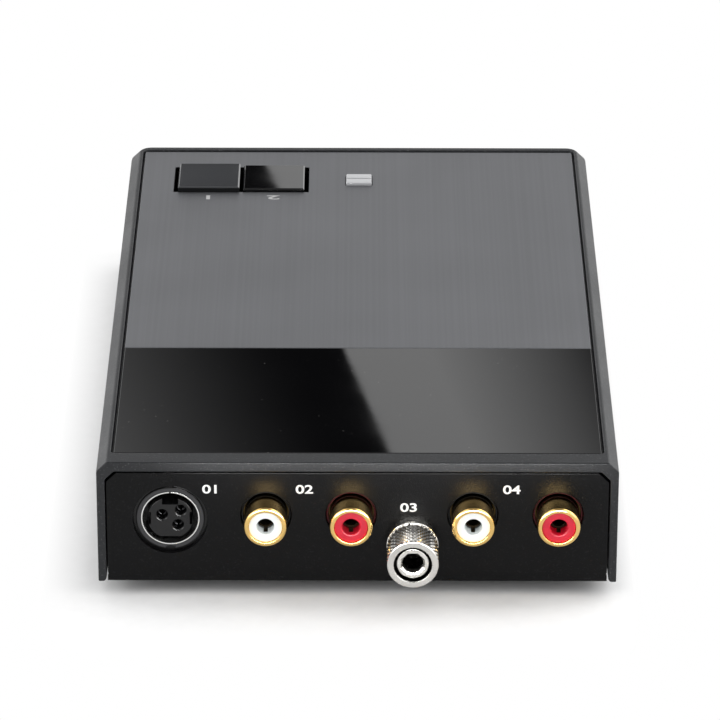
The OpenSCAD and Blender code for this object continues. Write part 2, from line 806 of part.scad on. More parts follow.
// Bevel along the foot of both side walls, on their inner face
module wall_bevels() {
    for (s = [0, 1]) mirror([s, 0, 0]) along(-slack, shell_l - corner_r) polygon([
        [inner_half - slack, -slack],
        [inner_half + wall_bevel_w, -slack],
        [inner_half + wall_bevel_w, 0],
        [inner_half, wall_bevel_h],
        [inner_half - slack, wall_bevel_h]
    ]);
}

// Boss for a case screw, tied to its side wall by a rib
module screw_boss(place) {
    side = sign(place[0]);
    rib_bottom = tray_t + boss_rib_gap;
    rib_l = boss_inset + eps;
    translate([place[0], place[1], 0]) {
        translate([0, 0, tray_t]) cylinder(d = boss_d, h = roof - tray_t + eps);
        translate([side > 0 ? 0 : -rib_l, -boss_rib_t / 2, rib_bottom])
            cube([rib_l, boss_rib_t, roof - rib_bottom + eps]);
    }
}

module button_window(gap, bottom, top) {
    w = window_w + 2 * gap;
    d = window_d + 2 * gap;
    translate([-button_pair_x - w / 2, button_pair_y - d / 2, bottom]) cube([w, d, top - bottom]);
}

module pipe_window(bottom, top) {
    w = pipe_w + 2 * pipe_gap;
    d = pipe_d + 2 * pipe_gap;
    translate([pipe_x - w / 2, pipe_y - d / 2, bottom]) cube([w, d, top - bottom]);
}

module top_shell() {
    color(powder) in_body() difference() {
        union() {
            difference() {
                union() {
                    linear_extrude(shell_h - top_chamfer) shell_outline(shell_w, shell_l, corner_r);
                    translate([0, 0, shell_h - top_chamfer]) chamfer_layer();
                }
                shell_cavity();
            }
            for (p = boss_places) screw_boss(p);
        }
        translate([0, 0, recess_floor])
            linear_extrude(recess_depth + slack) round_rect(2 * recess_half, near_rim, recess_end, recess_r);
        wall_bevels();
        button_window(0, roof - slack, shell_h);
        pipe_window(roof - slack, shell_h);
        for (p = boss_places) translate([p[0], p[1], tray_t - slack])
            cylinder(r = case_screw_d / 2 + pilot_play, h = case_screw_l + slack);
    }
}

// ---- inlays ----

// Slab on the floor of the recess, with its top edges broken
module inlay(start, end) {
    w = 2 * inlay_half;
    translate([0, (start + end) / 2, recess_floor])
        chamfered_block(w, end - start, inlay_t, inlay_chamfer);
}

module brushed_plate() {
    color(brushed) in_body() difference() {
        inlay(plate_start, plate_end);
        button_window(0, recess_floor - slack, shell_h);
        pipe_window(recess_floor - slack, shell_h);
    }
}

module gloss_panel() {
    color(gloss) in_body() inlay(gloss_start, plate_start - seam_gap);
}

// ---- tray with the jack panel ----

// Side of a channel with rounded bottom corners
module channel_side(l, h, r) {
    translate([r, 0]) square([l - 2 * r, h]);
    translate([0, r]) square([l, h - r]);
    for (y = [r, l - r]) translate([y, r]) circle(r);
}

// Side view of the tray: jack panel, floor and the low flange at the control end
module tray_side() {
    l = tray_end - panel_setback;
    difference() {
        translate([panel_setback, 0]) channel_side(l, panel_top, bend_r);
        translate([panel_inner, tray_t]) channel_side(l - 2 * tray_t, panel_top, bend_r - tray_t);
        translate([tray_end - tray_t - slack, flange_h]) square([tray_t + 2 * slack, panel_top]);
    }
}

// Cuts the jack panel's top corners at 45 degrees and tapers its bottom corners
module panel_corner_cuts() {
    for (s = [0, 1]) mirror([s, 0, 0]) along(-slack, panel_setback + bend_r + eps) {
        polygon([
            [tray_half - panel_corner_cut, panel_top + eps],
            [tray_half + eps, panel_top - panel_corner_cut],
            [tray_half + slack, panel_top + slack]
        ]);
        polygon([
            [tray_half - panel_taper_w, -eps],
            [tray_half + slack, -eps],
            [tray_half + slack, panel_taper_h],
            [tray_half, panel_taper_h]
        ]);
    }
}

// Cuts away the tray's corners beside the flange at the control end
module flange_reliefs() {
    for (s = [0, 1]) mirror([s, 0, 0])
        translate([tray_half - flange_relief, tray_end - relief_depth, -slack])
            cube([flange_relief + slack, relief_depth + slack, flange_h + 2 * slack]);
}

module base_tray() {
    color(satin_black) {
        difference() {
            in_body() difference() {
                across(2 * tray_half) tray_side();
                panel_corner_cuts();
                flange_reliefs();
                for (p = boss_places) translate([p[0], p[1], -slack])
                    cylinder(r = case_screw_d / 2 + screw_play, h = tray_t + 2 * slack);
                for (s = [-1, 1])
                    translate([s * dip_x - dip_l / 2 - dip_gap, dip_y - dip_w / 2 - dip_gap, -slack])
                        cube([dip_l + 2 * dip_gap, dip_w + 2 * dip_gap, tray_t + 2 * slack]);
            }
            for (x = jack_places) panel_hole(x, jack_z, jack_hole_d);
            panel_hole(inlet_x, inlet_z, inlet_hole_d);
            panel_hole(ground_x, ground_z, stud_d + 2 * pilot_play);
        }
    }
}

module panel_hole(x, z, d) {
    at_panel(x, z) translate([0, 0, -tray_t - slack]) cylinder(d = d, h = tray_t + 2 * slack);
}

module case_screws() {
    color(nickel) in_body() for (p = boss_places) translate([p[0], p[1], 0])
        pan_screw(case_head_d, case_head_h, case_screw_d, case_screw_l);
}

module foot(x, y) {
    top_r = foot_top_d / 2;
    low_r = foot_d / 2;
    e = foot_edge_r;
    color("#1a1a1b") in_body() translate([x, y, -foot_h]) rotate_extrude() {
        polygon([[0, 0], [low_r - e, 0], [low_r, e], [top_r, foot_h], [0, foot_h]]);
        translate([low_r - e, e]) intersection() {
            circle(e);
            translate([0, -e]) square(e);
        }
    }
}

// ---- circuit board ----

module main_board() {
    color("#1d4d32") in_body() translate([0, 0, board_bottom]) linear_extrude(board_t) difference() {
        translate([-board_half, board_start]) square([2 * board_half, board_end - board_start]);
        for (s = [-1, 1]) translate([s * (boss_x + board_notch), boss_near])
            square([4 * board_notch, 2 * board_notch], center = true);
        translate([ground_x - ground_notch_half, board_start - slack])
            square([2 * ground_notch_half, panel_inner + stud_l - board_start + slack]);
        for (p = standoff_places) translate(p) circle(board_screw_d / 2 + screw_play);
    }
}

module board_standoffs() {
    color(nickel) in_body() for (p = standoff_places) translate([p[0], p[1], 0])
        tube(standoff_d / 2, board_screw_d / 2 + pilot_play, tray_t, board_bottom);
}

module board_screws() {
    color(nickel) in_body() for (p = standoff_places) translate([p[0], p[1], board_top])
        rotate([180, 0, 0]) pan_screw(board_head_d, board_head_h, board_screw_d, board_screw_l);
}

// ---- push buttons ----

module push_button(x, top) {
    inner = button_size - 2 * button_wall;
    pocket_top = top - button_top_t;
    color(gloss) in_body() translate([x, button_pair_y, 0]) difference() {
        union() {
            difference() {
                union() {
                    translate([0, 0, skirt_bottom])
                        chamfered_block(button_size, button_size, top - skirt_bottom, button_chamfer);
                    translate([-button_size / 2, -button_size / 2 - button_flange_w, skirt_bottom])
                        cube([button_size, button_size + 2 * button_flange_w, button_flange_t]);
                }
                square_bar(inner, skirt_bottom - slack, pocket_top);
            }
            square_bar(stem_side, stem_bottom, pocket_top + eps);
            for (a = [0, 90]) rotate([0, 0, a])
                translate([-inner / 2 - eps, -button_rib_t / 2, skirt_bottom + button_flange_t])
                    cube([inner + 2 * eps, button_rib_t, pocket_top - skirt_bottom - button_flange_t + eps]);
        }
        square_bar(plunger_side + 2 * socket_play, stem_bottom - slack, plunger_top);
    }
}

module plunger(x) {
    color("#e8e8e4") in_body() translate([x, button_pair_y, 0]) {
        square_bar(plunger_foot_side, plunger_foot_bottom, plunger_foot_top);
        square_bar(plunger_side, plunger_foot_top - eps, plunger_top);
    }
}

module push_switch(x) {
    inner = plunger_foot_side + 2 * plunger_play;
    color("#3a3c40") in_body() translate([x, button_pair_y, 0]) difference() {
        translate([0, 0, board_top]) chamfered_block(switch_side, switch_side, switch_h, switch_chamfer);
        square_bar(inner, board_top + switch_roof, switch_top - switch_roof);
        square_bar(plunger_side + 2 * plunger_play, switch_top - switch_roof - eps, switch_top + slack);
    }
}

// ---- light pipe and lamp ----

module light_pipe() {
    color([0.86, 0.88, 0.9, 0.8]) in_body() translate([pipe_x, pipe_y, 0]) {
        difference() {
            translate([0, 0, roof - pipe_flange_t])
                chamfered_block(pipe_w, pipe_d, pipe_top - roof + pipe_flange_t, pipe_chamfer);
            translate([-pipe_w, -pipe_groove_w / 2, pipe_top - pipe_groove_d])
                cube([2 * pipe_w, pipe_groove_w, slack]);
        }
        translate([-pipe_w / 2 - pipe_flange_w, -pipe_d / 2 - pipe_flange_w, roof - pipe_flange_t])
            cube([pipe_w + 2 * pipe_flange_w, pipe_d + 2 * pipe_flange_w, pipe_flange_t]);
        square_bar(pipe_neck, pipe_bottom, roof - pipe_flange_t + eps);
    }
}

module power_lamp() {
    color("#f0f2f4") in_body() translate([pipe_x, pipe_y, board_top]) {
        cylinder(r = lamp_r + lamp_rim, h = lamp_rim_h);
        cylinder(r = lamp_r, h = lamp_h - lamp_r);
        translate([0, 0, lamp_h - lamp_r]) intersection() {
            sphere(lamp_r);
            translate([0, 0, lamp_r]) cube(2 * lamp_r, center = true);
        }
    }
}

// ---- phono jacks ----

module jack_housing(x) {
    down = jack_z - board_top;
    color("#18181a") at_panel(x, jack_z) difference() {
        union() {
            translate([-housing_w / 2, -down, -tray_t - housing_l])
                cube([housing_w, down + housing_up, housing_l]);
            translate([0, 0, -tray_t - eps])
                cylinder(d = jack_hole_d - 2 * nose_gap, h = tray_t - nose_drop + eps);
        }
        translate([0, 0, pocket_floor]) cylinder(r = barrel_root_r + socket_play, h = pocket_l + tray_t);
        translate([0, 0, -tray_t - housing_l - slack])
            cylinder(r = tail_d / 2 + socket_play, h = housing_l + 2 * slack);
    }
}

module jack_barrel(x) {
    inner_r = barrel_r - barrel_wall;
    l = barrel_lip;
    color(gold) at_panel(x, jack_z) rotate_extrude() polygon([
        [inner_r, pocket_floor],
        [barrel_root_r, pocket_floor],
        [barrel_root_r, 0],
        [barrel_r, 0],
        [barrel_r, barrel_reach - l],
        [barrel_r - l, barrel_reach],
        [inner_r + l / 2, barrel_reach],
        [inner_r, barrel_reach - l / 2]
    ]);
}

module jack_insulator(x, shade) {
    color(shade) at_panel(x, jack_z) difference() {
        translate([0, 0, pocket_floor]) cylinder(r = insulator_r, h = insulator_face - pocket_floor);
        translate([0, 0, contact_front - slack]) cylinder(r = pin_bore_r, h = pin_lead + 2 * slack);
        translate([0, 0, insulator_face - pin_lead_in])
            cylinder(r1 = pin_bore_r, r2 = pin_bore_r + pin_lead_in + eps, h = pin_lead_in + eps);
        translate([0, 0, contact_back])
            cylinder(r = contact_r + socket_play, h = contact_front - contact_back);
        translate([0, 0, pocket_floor - slack]) cylinder(r = tail_d / 2 + socket_play, h = 3 * slack);
    }
}

module jack_contact(x) {
    front = contact_front - socket_play;
    tail_back = -tray_t - housing_l - tail_out;
    color(gold) at_panel(x, jack_z) {
        difference() {
            tube(contact_r, grip_bore_r, contact_back, front);
            for (a = [0, 90]) rotate([0, 0, a])
                translate([-contact_r - slack, -contact_slot / 2, contact_back + contact_root_l])
                    cube([2 * (contact_r + slack), contact_slot, front]);
        }
        translate([0, 0, contact_back]) cylinder(r = contact_r, h = contact_floor_t);
        translate([0, 0, tail_back]) cylinder(d = tail_d, h = contact_back - tail_back + eps);
    }
}

// ---- power inlet ----

module power_inlet_housing() {
    down = inlet_z - board_top;
    bore_r = shield_r + socket_play;
    color("#232426") at_panel(inlet_x, inlet_z) difference() {
        union() {
            translate([-inlet_side / 2, -down, -tray_t - inlet_l])
                cube([inlet_side, down + inlet_side / 2, inlet_l]);
            translate([0, 0, -tray_t - eps]) cylinder(r = ring_r, h = tray_t - inlet_drop + eps);
        }
        translate([0, 0, socket_floor]) cylinder(r = bore_r, h = socket_depth + slack);
        translate([-ring_notch_w / 2, -ring_r - slack, -tray_t])
            cube([ring_notch_w, ring_r - bore_r + 2 * slack, tray_t]);
        for (p = contact_spots) translate([p[0], p[1], -tray_t - inlet_l - slack])
            cylinder(d = inlet_tail_d + 2 * socket_play, h = inlet_l + slack);
    }
}

module power_inlet_shield() {
    color(nickel) at_panel(inlet_x, inlet_z) difference() {
        tube(shield_r, shield_r - shield_wall, socket_floor, -inlet_drop);
        translate([-shield_seam / 2, 0, socket_floor - slack])
            cube([shield_seam, shield_d, socket_depth + 2 * slack]);
    }
}

module power_inlet_core() {
    face = -inlet_drop;
    color("#26272a") at_panel(inlet_x, inlet_z) difference() {
        translate([0, 0, socket_floor]) cylinder(r = core_r, h = face - socket_floor);
        translate([-key_w / 2, key_floor, socket_floor - slack])
            cube([key_w, core_d, socket_depth + 2 * slack]);
        for (s = [0, 1]) mirror([s, 0, 0])
            translate([side_slot_span / 2, -side_slot_h / 2, socket_floor - slack])
                cube([core_d, side_slot_h, socket_depth + 2 * slack]);
        translate([-core_r, -core_r - core_flat, socket_floor - slack])
            cube([core_d, core_r, socket_depth + 2 * slack]);
        for (p = contact_spots) translate([p[0], p[1], 0]) {
            translate([0, 0, socket_floor - slack])
                cylinder(d = inlet_pin_hole_d, h = socket_depth + 2 * slack);
            translate([0, 0, face - inlet_lead_in]) cylinder(
                r1 = inlet_pin_hole_d / 2,
                r2 = inlet_pin_hole_d / 2 + inlet_lead_in + eps,
                h = inlet_lead_in + eps
            );
        }
    }
}

module power_inlet_contacts() {
    back = -tray_t - inlet_l - inlet_tail_out;
    front = -inlet_drop - inlet_contact_drop;
    color(nickel) at_panel(inlet_x, inlet_z) for (p = contact_spots) translate([p[0], p[1], 0]) {
        difference() {
            translate([0, 0, socket_floor]) cylinder(d = inlet_contact_d, h = front - socket_floor);
            translate([0, 0, front - inlet_contact_l])
                cylinder(d = inlet_contact_bore, h = inlet_contact_l + slack);
        }
        translate([0, 0, back]) cylinder(d = inlet_tail_d, h = socket_floor - back + eps);
    }
}

// ---- ground terminal ----

module ground_post() {
    mouth_r = post_mouth_d / 2;
    bore_r = post_bore_d / 2;
    edge = post_chamfer;
    color(nickel) at_panel(ground_x, ground_z) rotate_extrude() polygon([
        [0, -tray_t - stud_l],
        [stud_d / 2, -tray_t - stud_l],
        [stud_d / 2, 0],
        [collar_d / 2, 0],
        [collar_d / 2, collar_t],
        [post_d / 2, collar_t],
        [post_d / 2, post_face - edge],
        [post_d / 2 - edge, post_face],
        [mouth_r, post_face],
        [bore_r, post_bore_mouth],
        [bore_r, post_bore_mouth - post_bore_l],
        [0, post_bore_mouth - post_bore_l]
    ]);
}

module ground_washer() {
    color(nickel) at_panel(ground_x, ground_z) tube(washer_d / 2, post_hole_r, collar_t, nut_back);
}

module ground_nut() {
    r = nut_d / 2;
    c = nut_chamfer;
    color(nickel) at_panel(ground_x, ground_z) rotate_extrude() polygon([
        [post_hole_r, nut_back],
        [r - c, nut_back],
        [r, nut_back + c],
        [r, nut_reach - c],
        [r - c, nut_reach],
        [nut_recess_d / 2, nut_reach],
        [nut_recess_d / 2, nut_reach - nut_recess_l],
        [post_hole_r, nut_reach - nut_recess_l]
    ]);
}

module ground_inner_nut() {
    color(nickel) at_panel(ground_x, ground_z) translate([0, 0, -lug_back - inner_nut_t]) difference() {
        rotate([0, 0, 30]) cylinder(r = inner_nut_af / 2 / cos(30), h = inner_nut_t, $fn = 6);
        translate([0, 0, -slack]) cylinder(r = stud_d / 2 + pilot_play, h = inner_nut_t + 2 * slack);
    }
}

module ground_lug() {
    color(gold) at_panel(ground_x, ground_z) translate([0, 0, -lug_back])
        linear_extrude(lug_t) difference() {
        union() {
            circle(d = lug_d);
            translate([-lug_tail_w / 2, 0]) square([lug_tail_w, lug_reach]);
            translate([0, lug_reach]) circle(d = lug_tail_w);
        }
        circle(r = stud_d / 2 + pilot_play);
        translate([0, lug_reach]) circle(d = lug_tail_w / 2);
    }
}

// ---- parts on the board ----

module electrolytic_capacitors() {
    color("#20242c") in_body() for (s = [-1, 1], i = [0 : cans_per_row - 1])
        translate([s * can_x, can_y + i * can_pitch, board_top]) difference() {
            rotate_extrude() polygon([
                [0, 0],
                [can_r, 0],
                [can_r, can_groove_z - can_groove],
                [can_r - can_groove, can_groove_z],
                [can_r, can_groove_z + can_groove],
                [can_r, can_h - can_edge],
                [can_r - can_edge, can_h],
                [0, can_h]
            ]);
            for (a = [0, 90]) rotate([0, 0, a])
                translate([-can_r / 2, -can_vent_w / 2, can_h - can_vent_d]) cube([can_r, can_vent_w, slack]);
        }
}

module film_capacitors() {
    color("#8f2320") in_body() for (s = [-1, 1], i = [0 : films_per_row - 1])
        translate([s * film_x, film_y + i * film_pitch, board_top])
            chamfered_block(film_l, film_w, film_h, film_chamfer);
}

module op_amps() {
    color("#1b1b1d") in_body() for (s = [-1, 1], i = [0 : chips_per_row - 1])
        translate([s * chip_x, chip_y + i * chip_pitch, board_top]) {
            translate([0, 0, chip_stand]) difference() {
                chamfered_block(chip_w, chip_l, chip_h - chip_stand, chip_chamfer);
                translate([0, -chip_l / 2, chip_h - chip_stand - chip_notch_d])
                    cylinder(r = chip_notch_r, h = slack);
            }
            for (side = [0, 1], leg = [-1.5 : 1.5]) mirror([side, 0, 0])
                along(leg * leg_pitch - leg_w / 2, leg * leg_pitch + leg_w / 2) chip_leg();
        }
}

// Side view of an op-amp's leg: out of the body at half height, then down to the board
module chip_leg() {
    level = (chip_h + chip_stand) / 2;
    reach = chip_w / 2 + leg_out;
    polygon([
        [chip_w / 2 - eps, level - leg_t],
        [reach - leg_t, level - leg_t],
        [reach - leg_t, 0],
        [reach, 0],
        [reach, level],
        [chip_w / 2 - eps, level]
    ]);
}

module voltage_regulators() {
    body_start = regulator_tab_t - regulator_t;
    color("#202124") in_body() for (s = [-1, 1]) translate([s * regulator_x, regulator_y, board_top]) {
        difference() {
            translate([-regulator_w / 2, 0, regulator_lead_l])
                cube([regulator_w, regulator_tab_t, regulator_h - regulator_lead_l]);
            translate([0, regulator_tab_t + slack, regulator_h - regulator_hole_drop]) rotate([90, 0, 0])
                cylinder(d = regulator_hole_d, h = regulator_tab_t + 2 * slack);
        }
        translate([-regulator_w / 2, body_start, regulator_lead_l])
            cube([regulator_w, regulator_t, regulator_body_h]);
        for (i = [-1 : 1]) translate([i * leg_pitch - regulator_lead_w / 2, body_start / 2, 0])
            cube([regulator_lead_w, leg_t, regulator_lead_l + eps]);
    }
}

module resistors() {
    color("#5d8fb5") in_body() for (s = [-1, 1], i = [0 : resistors_per_row - 1])
        translate([s * resistor_x, resistor_y + i * resistor_pitch, board_top + resistor_d / 2]) {
            rotate([0, 90, 0]) resistor_body();
            for (side = [-1, 1]) translate([side * (resistor_l / 2 + resistor_lead_out), 0, -resistor_d / 2])
                cylinder(d = resistor_lead_d, h = (resistor_d + resistor_lead_d) / 2);
        }
}

// Resistor along z, centred: thicker ends, a waist, and the straight stretch of its two leads
module resistor_body() {
    r = resistor_d / 2;
    half = resistor_l / 2;
    waist_r = r - resistor_waist;
    waist_half = half - resistor_cap_l - resistor_waist;
    rotate_extrude() polygon([
        [0, -half],
        [r, -half],
        [r, resistor_cap_l - half],
        [waist_r, -waist_half],
        [waist_r, waist_half],
        [r, half - resistor_cap_l],
        [r, half],
        [0, half]
    ]);
    cylinder(d = resistor_lead_d, h = resistor_l + 2 * resistor_lead_out, center = true);
}

// ---- DIP switches ----

function slider_x(i) = (i - 1.5) * dip_pitch;

module dip_switch(x) {
    color("#a51f24") in_body() translate([x, dip_y, 0]) difference() {
        translate([-dip_l / 2, -dip_w / 2, dip_face]) cube([dip_l, dip_w, board_bottom - dip_face]);
        for (i = [0 : 3]) translate([slider_x(i) - dip_slot_w / 2, -dip_slot_l / 2, dip_face - slack])
            cube([dip_slot_w, dip_slot_l, dip_slot_d + slack]);
    }
}

module slider(x, i) {
    start = slider_play - dip_slot_l / 2;
    color("#f2f2ee") in_body() translate([x + slider_x(i) - slider_w / 2, dip_y + start, 0]) {
        translate([0, 0, slider_front]) cube([slider_w, slider_l, slider_back - slider_front]);
    }
}

top_shell();
brushed_plate();
gloss_panel();
base_tray();
case_screws();
foot(-foot_x, foot_end);  // near_left_foot
foot(foot_x, foot_end);  // near_right_foot
foot(-foot_x, foot_far);  // far_left_foot
foot(foot_x, foot_far);  // far_right_foot
main_board();
board_standoffs();
board_screws();
push_button(subsonic_x, button_top);  // subsonic_button
push_button(mono_x, button_top - mono_drop);  // mono_button
plunger(subsonic_x);  // subsonic_plunger
plunger(mono_x);  // mono_plunger
push_switch(subsonic_x);  // subsonic_switch
push_switch(mono_x);  // mono_switch
light_pipe();
power_lamp();
power_inlet_housing();
power_inlet_shield();
power_inlet_core();
power_inlet_contacts();
jack_housing(input_left_x);  // input_left_housing
jack_housing(input_right_x);  // input_right_housing
jack_housing(output_left_x);  // output_left_housing
jack_housing(output_right_x);  // output_right_housing
jack_barrel(input_left_x);  // input_left_barrel
jack_barrel(input_right_x);  // input_right_barrel
jack_barrel(output_left_x);  // output_left_barrel
jack_barrel(output_right_x);  // output_right_barrel
jack_insulator(input_left_x, "white");  // input_left_insulator
jack_insulator(input_right_x, "crimson");  // input_right_insulator
jack_insulator(output_left_x, "white");  // output_left_insulator
jack_insulator(output_right_x, "crimson");  // output_right_insulator
jack_contact(input_left_x);  // input_left_contact
jack_contact(input_right_x);  // input_right_contact
jack_contact(output_left_x);  // output_left_contact
jack_contact(output_right_x);  // output_right_contact
ground_post();
ground_washer();
ground_nut();
ground_inner_nut();
ground_lug();
electrolytic_capacitors();
film_capacitors();
op_amps();
voltage_regulators();
resistors();
dip_switch(-dip_x);  // left_dip_switch
dip_switch(dip_x);  // right_dip_switch
slider(-dip_x, 0);  // left_slider_1
slider(-dip_x, 1);  // left_slider_2
slider(-dip_x, 2);  // left_slider_3
slider(-dip_x, 3);  // left_slider_4
slider(dip_x, 0);  // right_slider_1
slider(dip_x, 1);  // right_slider_2
slider(dip_x, 2);  // right_slider_3
slider(dip_x, 3);  // right_slider_4
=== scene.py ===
"""The dressed model of a small phono preamp with two push buttons and one row of connectors.

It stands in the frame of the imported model: the connector panel faces -Y, the control end is at +Y,
and the feet stand on z = 0. Sizes of pieces are in millimetres. Places, and all of the studio, are
in metres.
"""
import json
import logging
import math
from collections.abc import Callable, Iterator, Mapping, Sequence
from contextlib import contextmanager
from dataclasses import dataclass
from enum import Enum
from functools import cached_property
from typing import ClassVar

import bmesh
import bpy
from mathutils import Matrix, Vector


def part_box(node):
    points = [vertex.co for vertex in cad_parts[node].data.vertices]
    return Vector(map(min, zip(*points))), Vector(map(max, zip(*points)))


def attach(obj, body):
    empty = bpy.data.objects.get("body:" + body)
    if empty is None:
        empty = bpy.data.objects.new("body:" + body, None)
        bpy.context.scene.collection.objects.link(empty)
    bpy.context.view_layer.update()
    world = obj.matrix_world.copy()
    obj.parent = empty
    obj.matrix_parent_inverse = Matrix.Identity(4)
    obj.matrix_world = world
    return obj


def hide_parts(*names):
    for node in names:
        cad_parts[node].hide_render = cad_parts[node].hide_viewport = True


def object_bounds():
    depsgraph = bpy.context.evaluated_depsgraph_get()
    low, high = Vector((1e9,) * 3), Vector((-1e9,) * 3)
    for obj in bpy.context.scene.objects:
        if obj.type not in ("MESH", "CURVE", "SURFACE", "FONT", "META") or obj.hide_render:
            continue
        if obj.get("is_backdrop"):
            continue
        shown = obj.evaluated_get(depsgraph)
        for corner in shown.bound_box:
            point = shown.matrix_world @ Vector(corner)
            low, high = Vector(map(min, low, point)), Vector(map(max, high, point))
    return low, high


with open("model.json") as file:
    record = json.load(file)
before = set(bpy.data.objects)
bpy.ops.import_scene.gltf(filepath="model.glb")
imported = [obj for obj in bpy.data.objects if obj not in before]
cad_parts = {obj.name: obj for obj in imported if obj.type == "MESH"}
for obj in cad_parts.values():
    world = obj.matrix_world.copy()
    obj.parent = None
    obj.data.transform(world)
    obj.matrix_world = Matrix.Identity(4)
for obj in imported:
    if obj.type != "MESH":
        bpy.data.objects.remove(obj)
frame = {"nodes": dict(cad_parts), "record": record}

LOG = logging.getLogger("phono_preamp")
MM = 0.001
FAR = 1000.0
CHASSIS = "chassis"
CAD_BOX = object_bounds()
PANEL_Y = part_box("base_tray")[0].y
SLOT_OF = {part["node"]: part["material_slot"] for part in frame["record"]["subparts"]}

Colour = tuple[float, float, float, float]
Shown = tuple[int, int, int]
Point = tuple[float, float]
Place = tuple[float, float, float]
Range = tuple[float, float, float, float]
Object = bpy.types.Object
Socket = bpy.types.NodeSocket


def linear(shown: Shown, factor: float = 1.0) -> Colour:
    """Turns a colour as a screen shows it into the linear values that a shader reads.

    Args:
        shown: The red, green and blue parts, 0 to 255.
        factor: How many times lighter the result is.

    Returns:
        The linear colour with full alpha.
    """
    parts = []
    for part in shown:
        share = part / 255
        value = share / 12.92 if share <= 0.04045 else ((share + 0.055) / 1.055) ** 2.4
        parts.append(min(1.0, value * factor))
    return (*parts, 1.0)


def middle(node: str) -> Vector:
    """Returns the centre of a CAD node's box."""
    low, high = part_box(node)
    return (low + high) / 2


def panel_point(node: str) -> Vector:
    """Returns the point of the panel's face in front of a CAD node's centre."""
    centre = middle(node)
    return Vector((centre.x, PANEL_Y, centre.z))


class Web:
    """A node tree under construction, with the coordinates that its patterns follow."""

    def __init__(
        self, tree: bpy.types.NodeTree, source: str = "ShaderNodeTexCoord", output: str = "Object"
    ) -> None:
        """Empties the tree and adds the coordinates.

        Args:
            tree: The node tree to fill.
            source: The type of the node that gives the coordinates.
            output: Its output that gives them.
        """
        self.tree = tree
        tree.nodes.clear()
        self.start = self.node(source)
        self.place = self.start.outputs[output]

    def node(self, kind: str, ports: dict | None = None, **settings: object) -> bpy.types.Node:
        """Adds a node.

        Args:
            kind: The node's type.
            ports: Input name or number to a value or to the socket that feeds it.
            settings: The node's own options.

        Returns:
            The new node.
        """
        made = self.tree.nodes.new(kind)
        for name, value in settings.items():
            setattr(made, name, value)
        for name, value in (ports or {}).items():
            if isinstance(value, Socket):
                self.tree.links.new(value, made.inputs[name])
            else:
                made.inputs[name].default_value = value
        return made

    def math(self, operation: str, *values: object) -> Socket:
        """Adds a Math node on the values and returns its result."""
        return self.node("ShaderNodeMath", dict(enumerate(values)), operation=operation).outputs[0]

    def vector(self, operation: str, *values: object) -> Socket:
        """Adds a Vector Math node on the values and returns its result."""
        made = self.node("ShaderNodeVectorMath", dict(enumerate(values)), operation=operation)
        return made.outputs["Value" if operation == "LENGTH" else "Vector"]

    def part(self, axis: str) -> Socket:
        """Returns the coordinates' part along X, Y or Z."""
        return self.node("ShaderNodeSeparateXYZ", {0: self.place}).outputs[axis]

    def noise(self, scale: object, detail: float = 2.0, place: Socket | None = None) -> Socket:
        """Adds a Noise Texture node on the tree's own or other coordinates; returns its factor."""
        ports = {"Vector": place or self.place, "Scale": scale, "Detail": detail}
        return self.node("ShaderNodeTexNoise", ports).outputs["Fac"]

    def span(
        self, value: object, low: float, high: float, to_low: float = 0.0, to_high: float = 1.0
    ) -> Socket:
        """Maps low..high onto to_low..to_high, kept within them.

        Args:
            value: The number or socket to map.
            low: Where the source range starts.
            high: Where the source range ends.
            to_low: The result at low.
            to_high: The result at high.

        Returns:
            The mapped value's socket.
        """
        ports = {
            "Value": value, "From Min": low, "From Max": high, "To Min": to_low, "To Max": to_high
        }
        return self.node("ShaderNodeMapRange", ports).outputs["Result"]

    def mix(self, factor: object, first: object, second: object) -> Socket:
        """Blends two colours by a factor and returns the result."""
        ports = {0: factor, 6: first, 7: second}
        return self.node("ShaderNodeMix", ports, data_type="RGBA").outputs[2]

    def effect(self, effect: "Effect", scale: float, **more: float) -> Mapping[str, Socket]:
        """Places a shared effect with its own values and returns its outputs."""
        ports = {"Vector": self.place, "Scale": scale, **more}
        return self.node("ShaderNodeGroup", ports, node_tree=effect_group(effect)).outputs


class Effect(Enum):
    """The surface effects that several finishes share, by the name of their node group."""

    GRAIN = "fine_grain"
    BRUSH = "brushed_lines"
    PATCHES = "handling_patches"
    DUST = "dust_specks"


class EffectWeb(Web):
    """The inside of a shared effect's node group, built by the method of the group's name."""

    fleck_share: ClassVar[float] = 0.37
    broad_share: ClassVar[float] = 0.16
    cloud_scale: ClassVar[float] = 60.0

    def fine_grain(self) -> dict[str, Socket]:
        """Returns fine bumps and the light and dark flecks that go with them."""
        scale = self.start.outputs["Scale"]
        flecks = self.noise(self.math("MULTIPLY", scale, self.fleck_share))
        return {"Height": self.noise(scale, 3.0), "Mask": self.span(flecks, 0.38, 0.62)}

    def brushed_lines(self) -> dict[str, Socket]:
        """Returns long fine lines along Y, with a slower change from line to line."""
        scale, along = self.start.outputs["Scale"], self.start.outputs["Along"]
        scales = self.node("ShaderNodeCombineXYZ", {"X": scale, "Y": along, "Z": scale}).outputs[0]
        place = self.vector("MULTIPLY", self.place, scales)
        broad = self.noise(self.broad_share, 2.0, place)
        return {"Height": self.noise(1.0, 4.0, place), "Mask": self.span(broad, 0.35, 0.65)}

    def handling_patches(self) -> dict[str, Socket]:
        """Returns soft large patches, as handling and cleaning leave them."""
        return {"Mask": self.span(self.noise(self.start.outputs["Scale"], 4.0), 0.32, 0.68)}

    def dust_specks(self) -> dict[str, Socket]:
        """Returns scattered specks, denser in some places than in others."""
        ports = {"Vector": self.place, "Scale": self.start.outputs["Scale"]}
        cells = self.node("ShaderNodeTexVoronoi", ports).outputs["Distance"]
        settled = self.span(self.noise(self.cloud_scale), 0.5, 0.62)
        return {"Mask": self.math("MULTIPLY", self.span(cells, 0.04, 0.1, 1.0, 0.0), settled)}


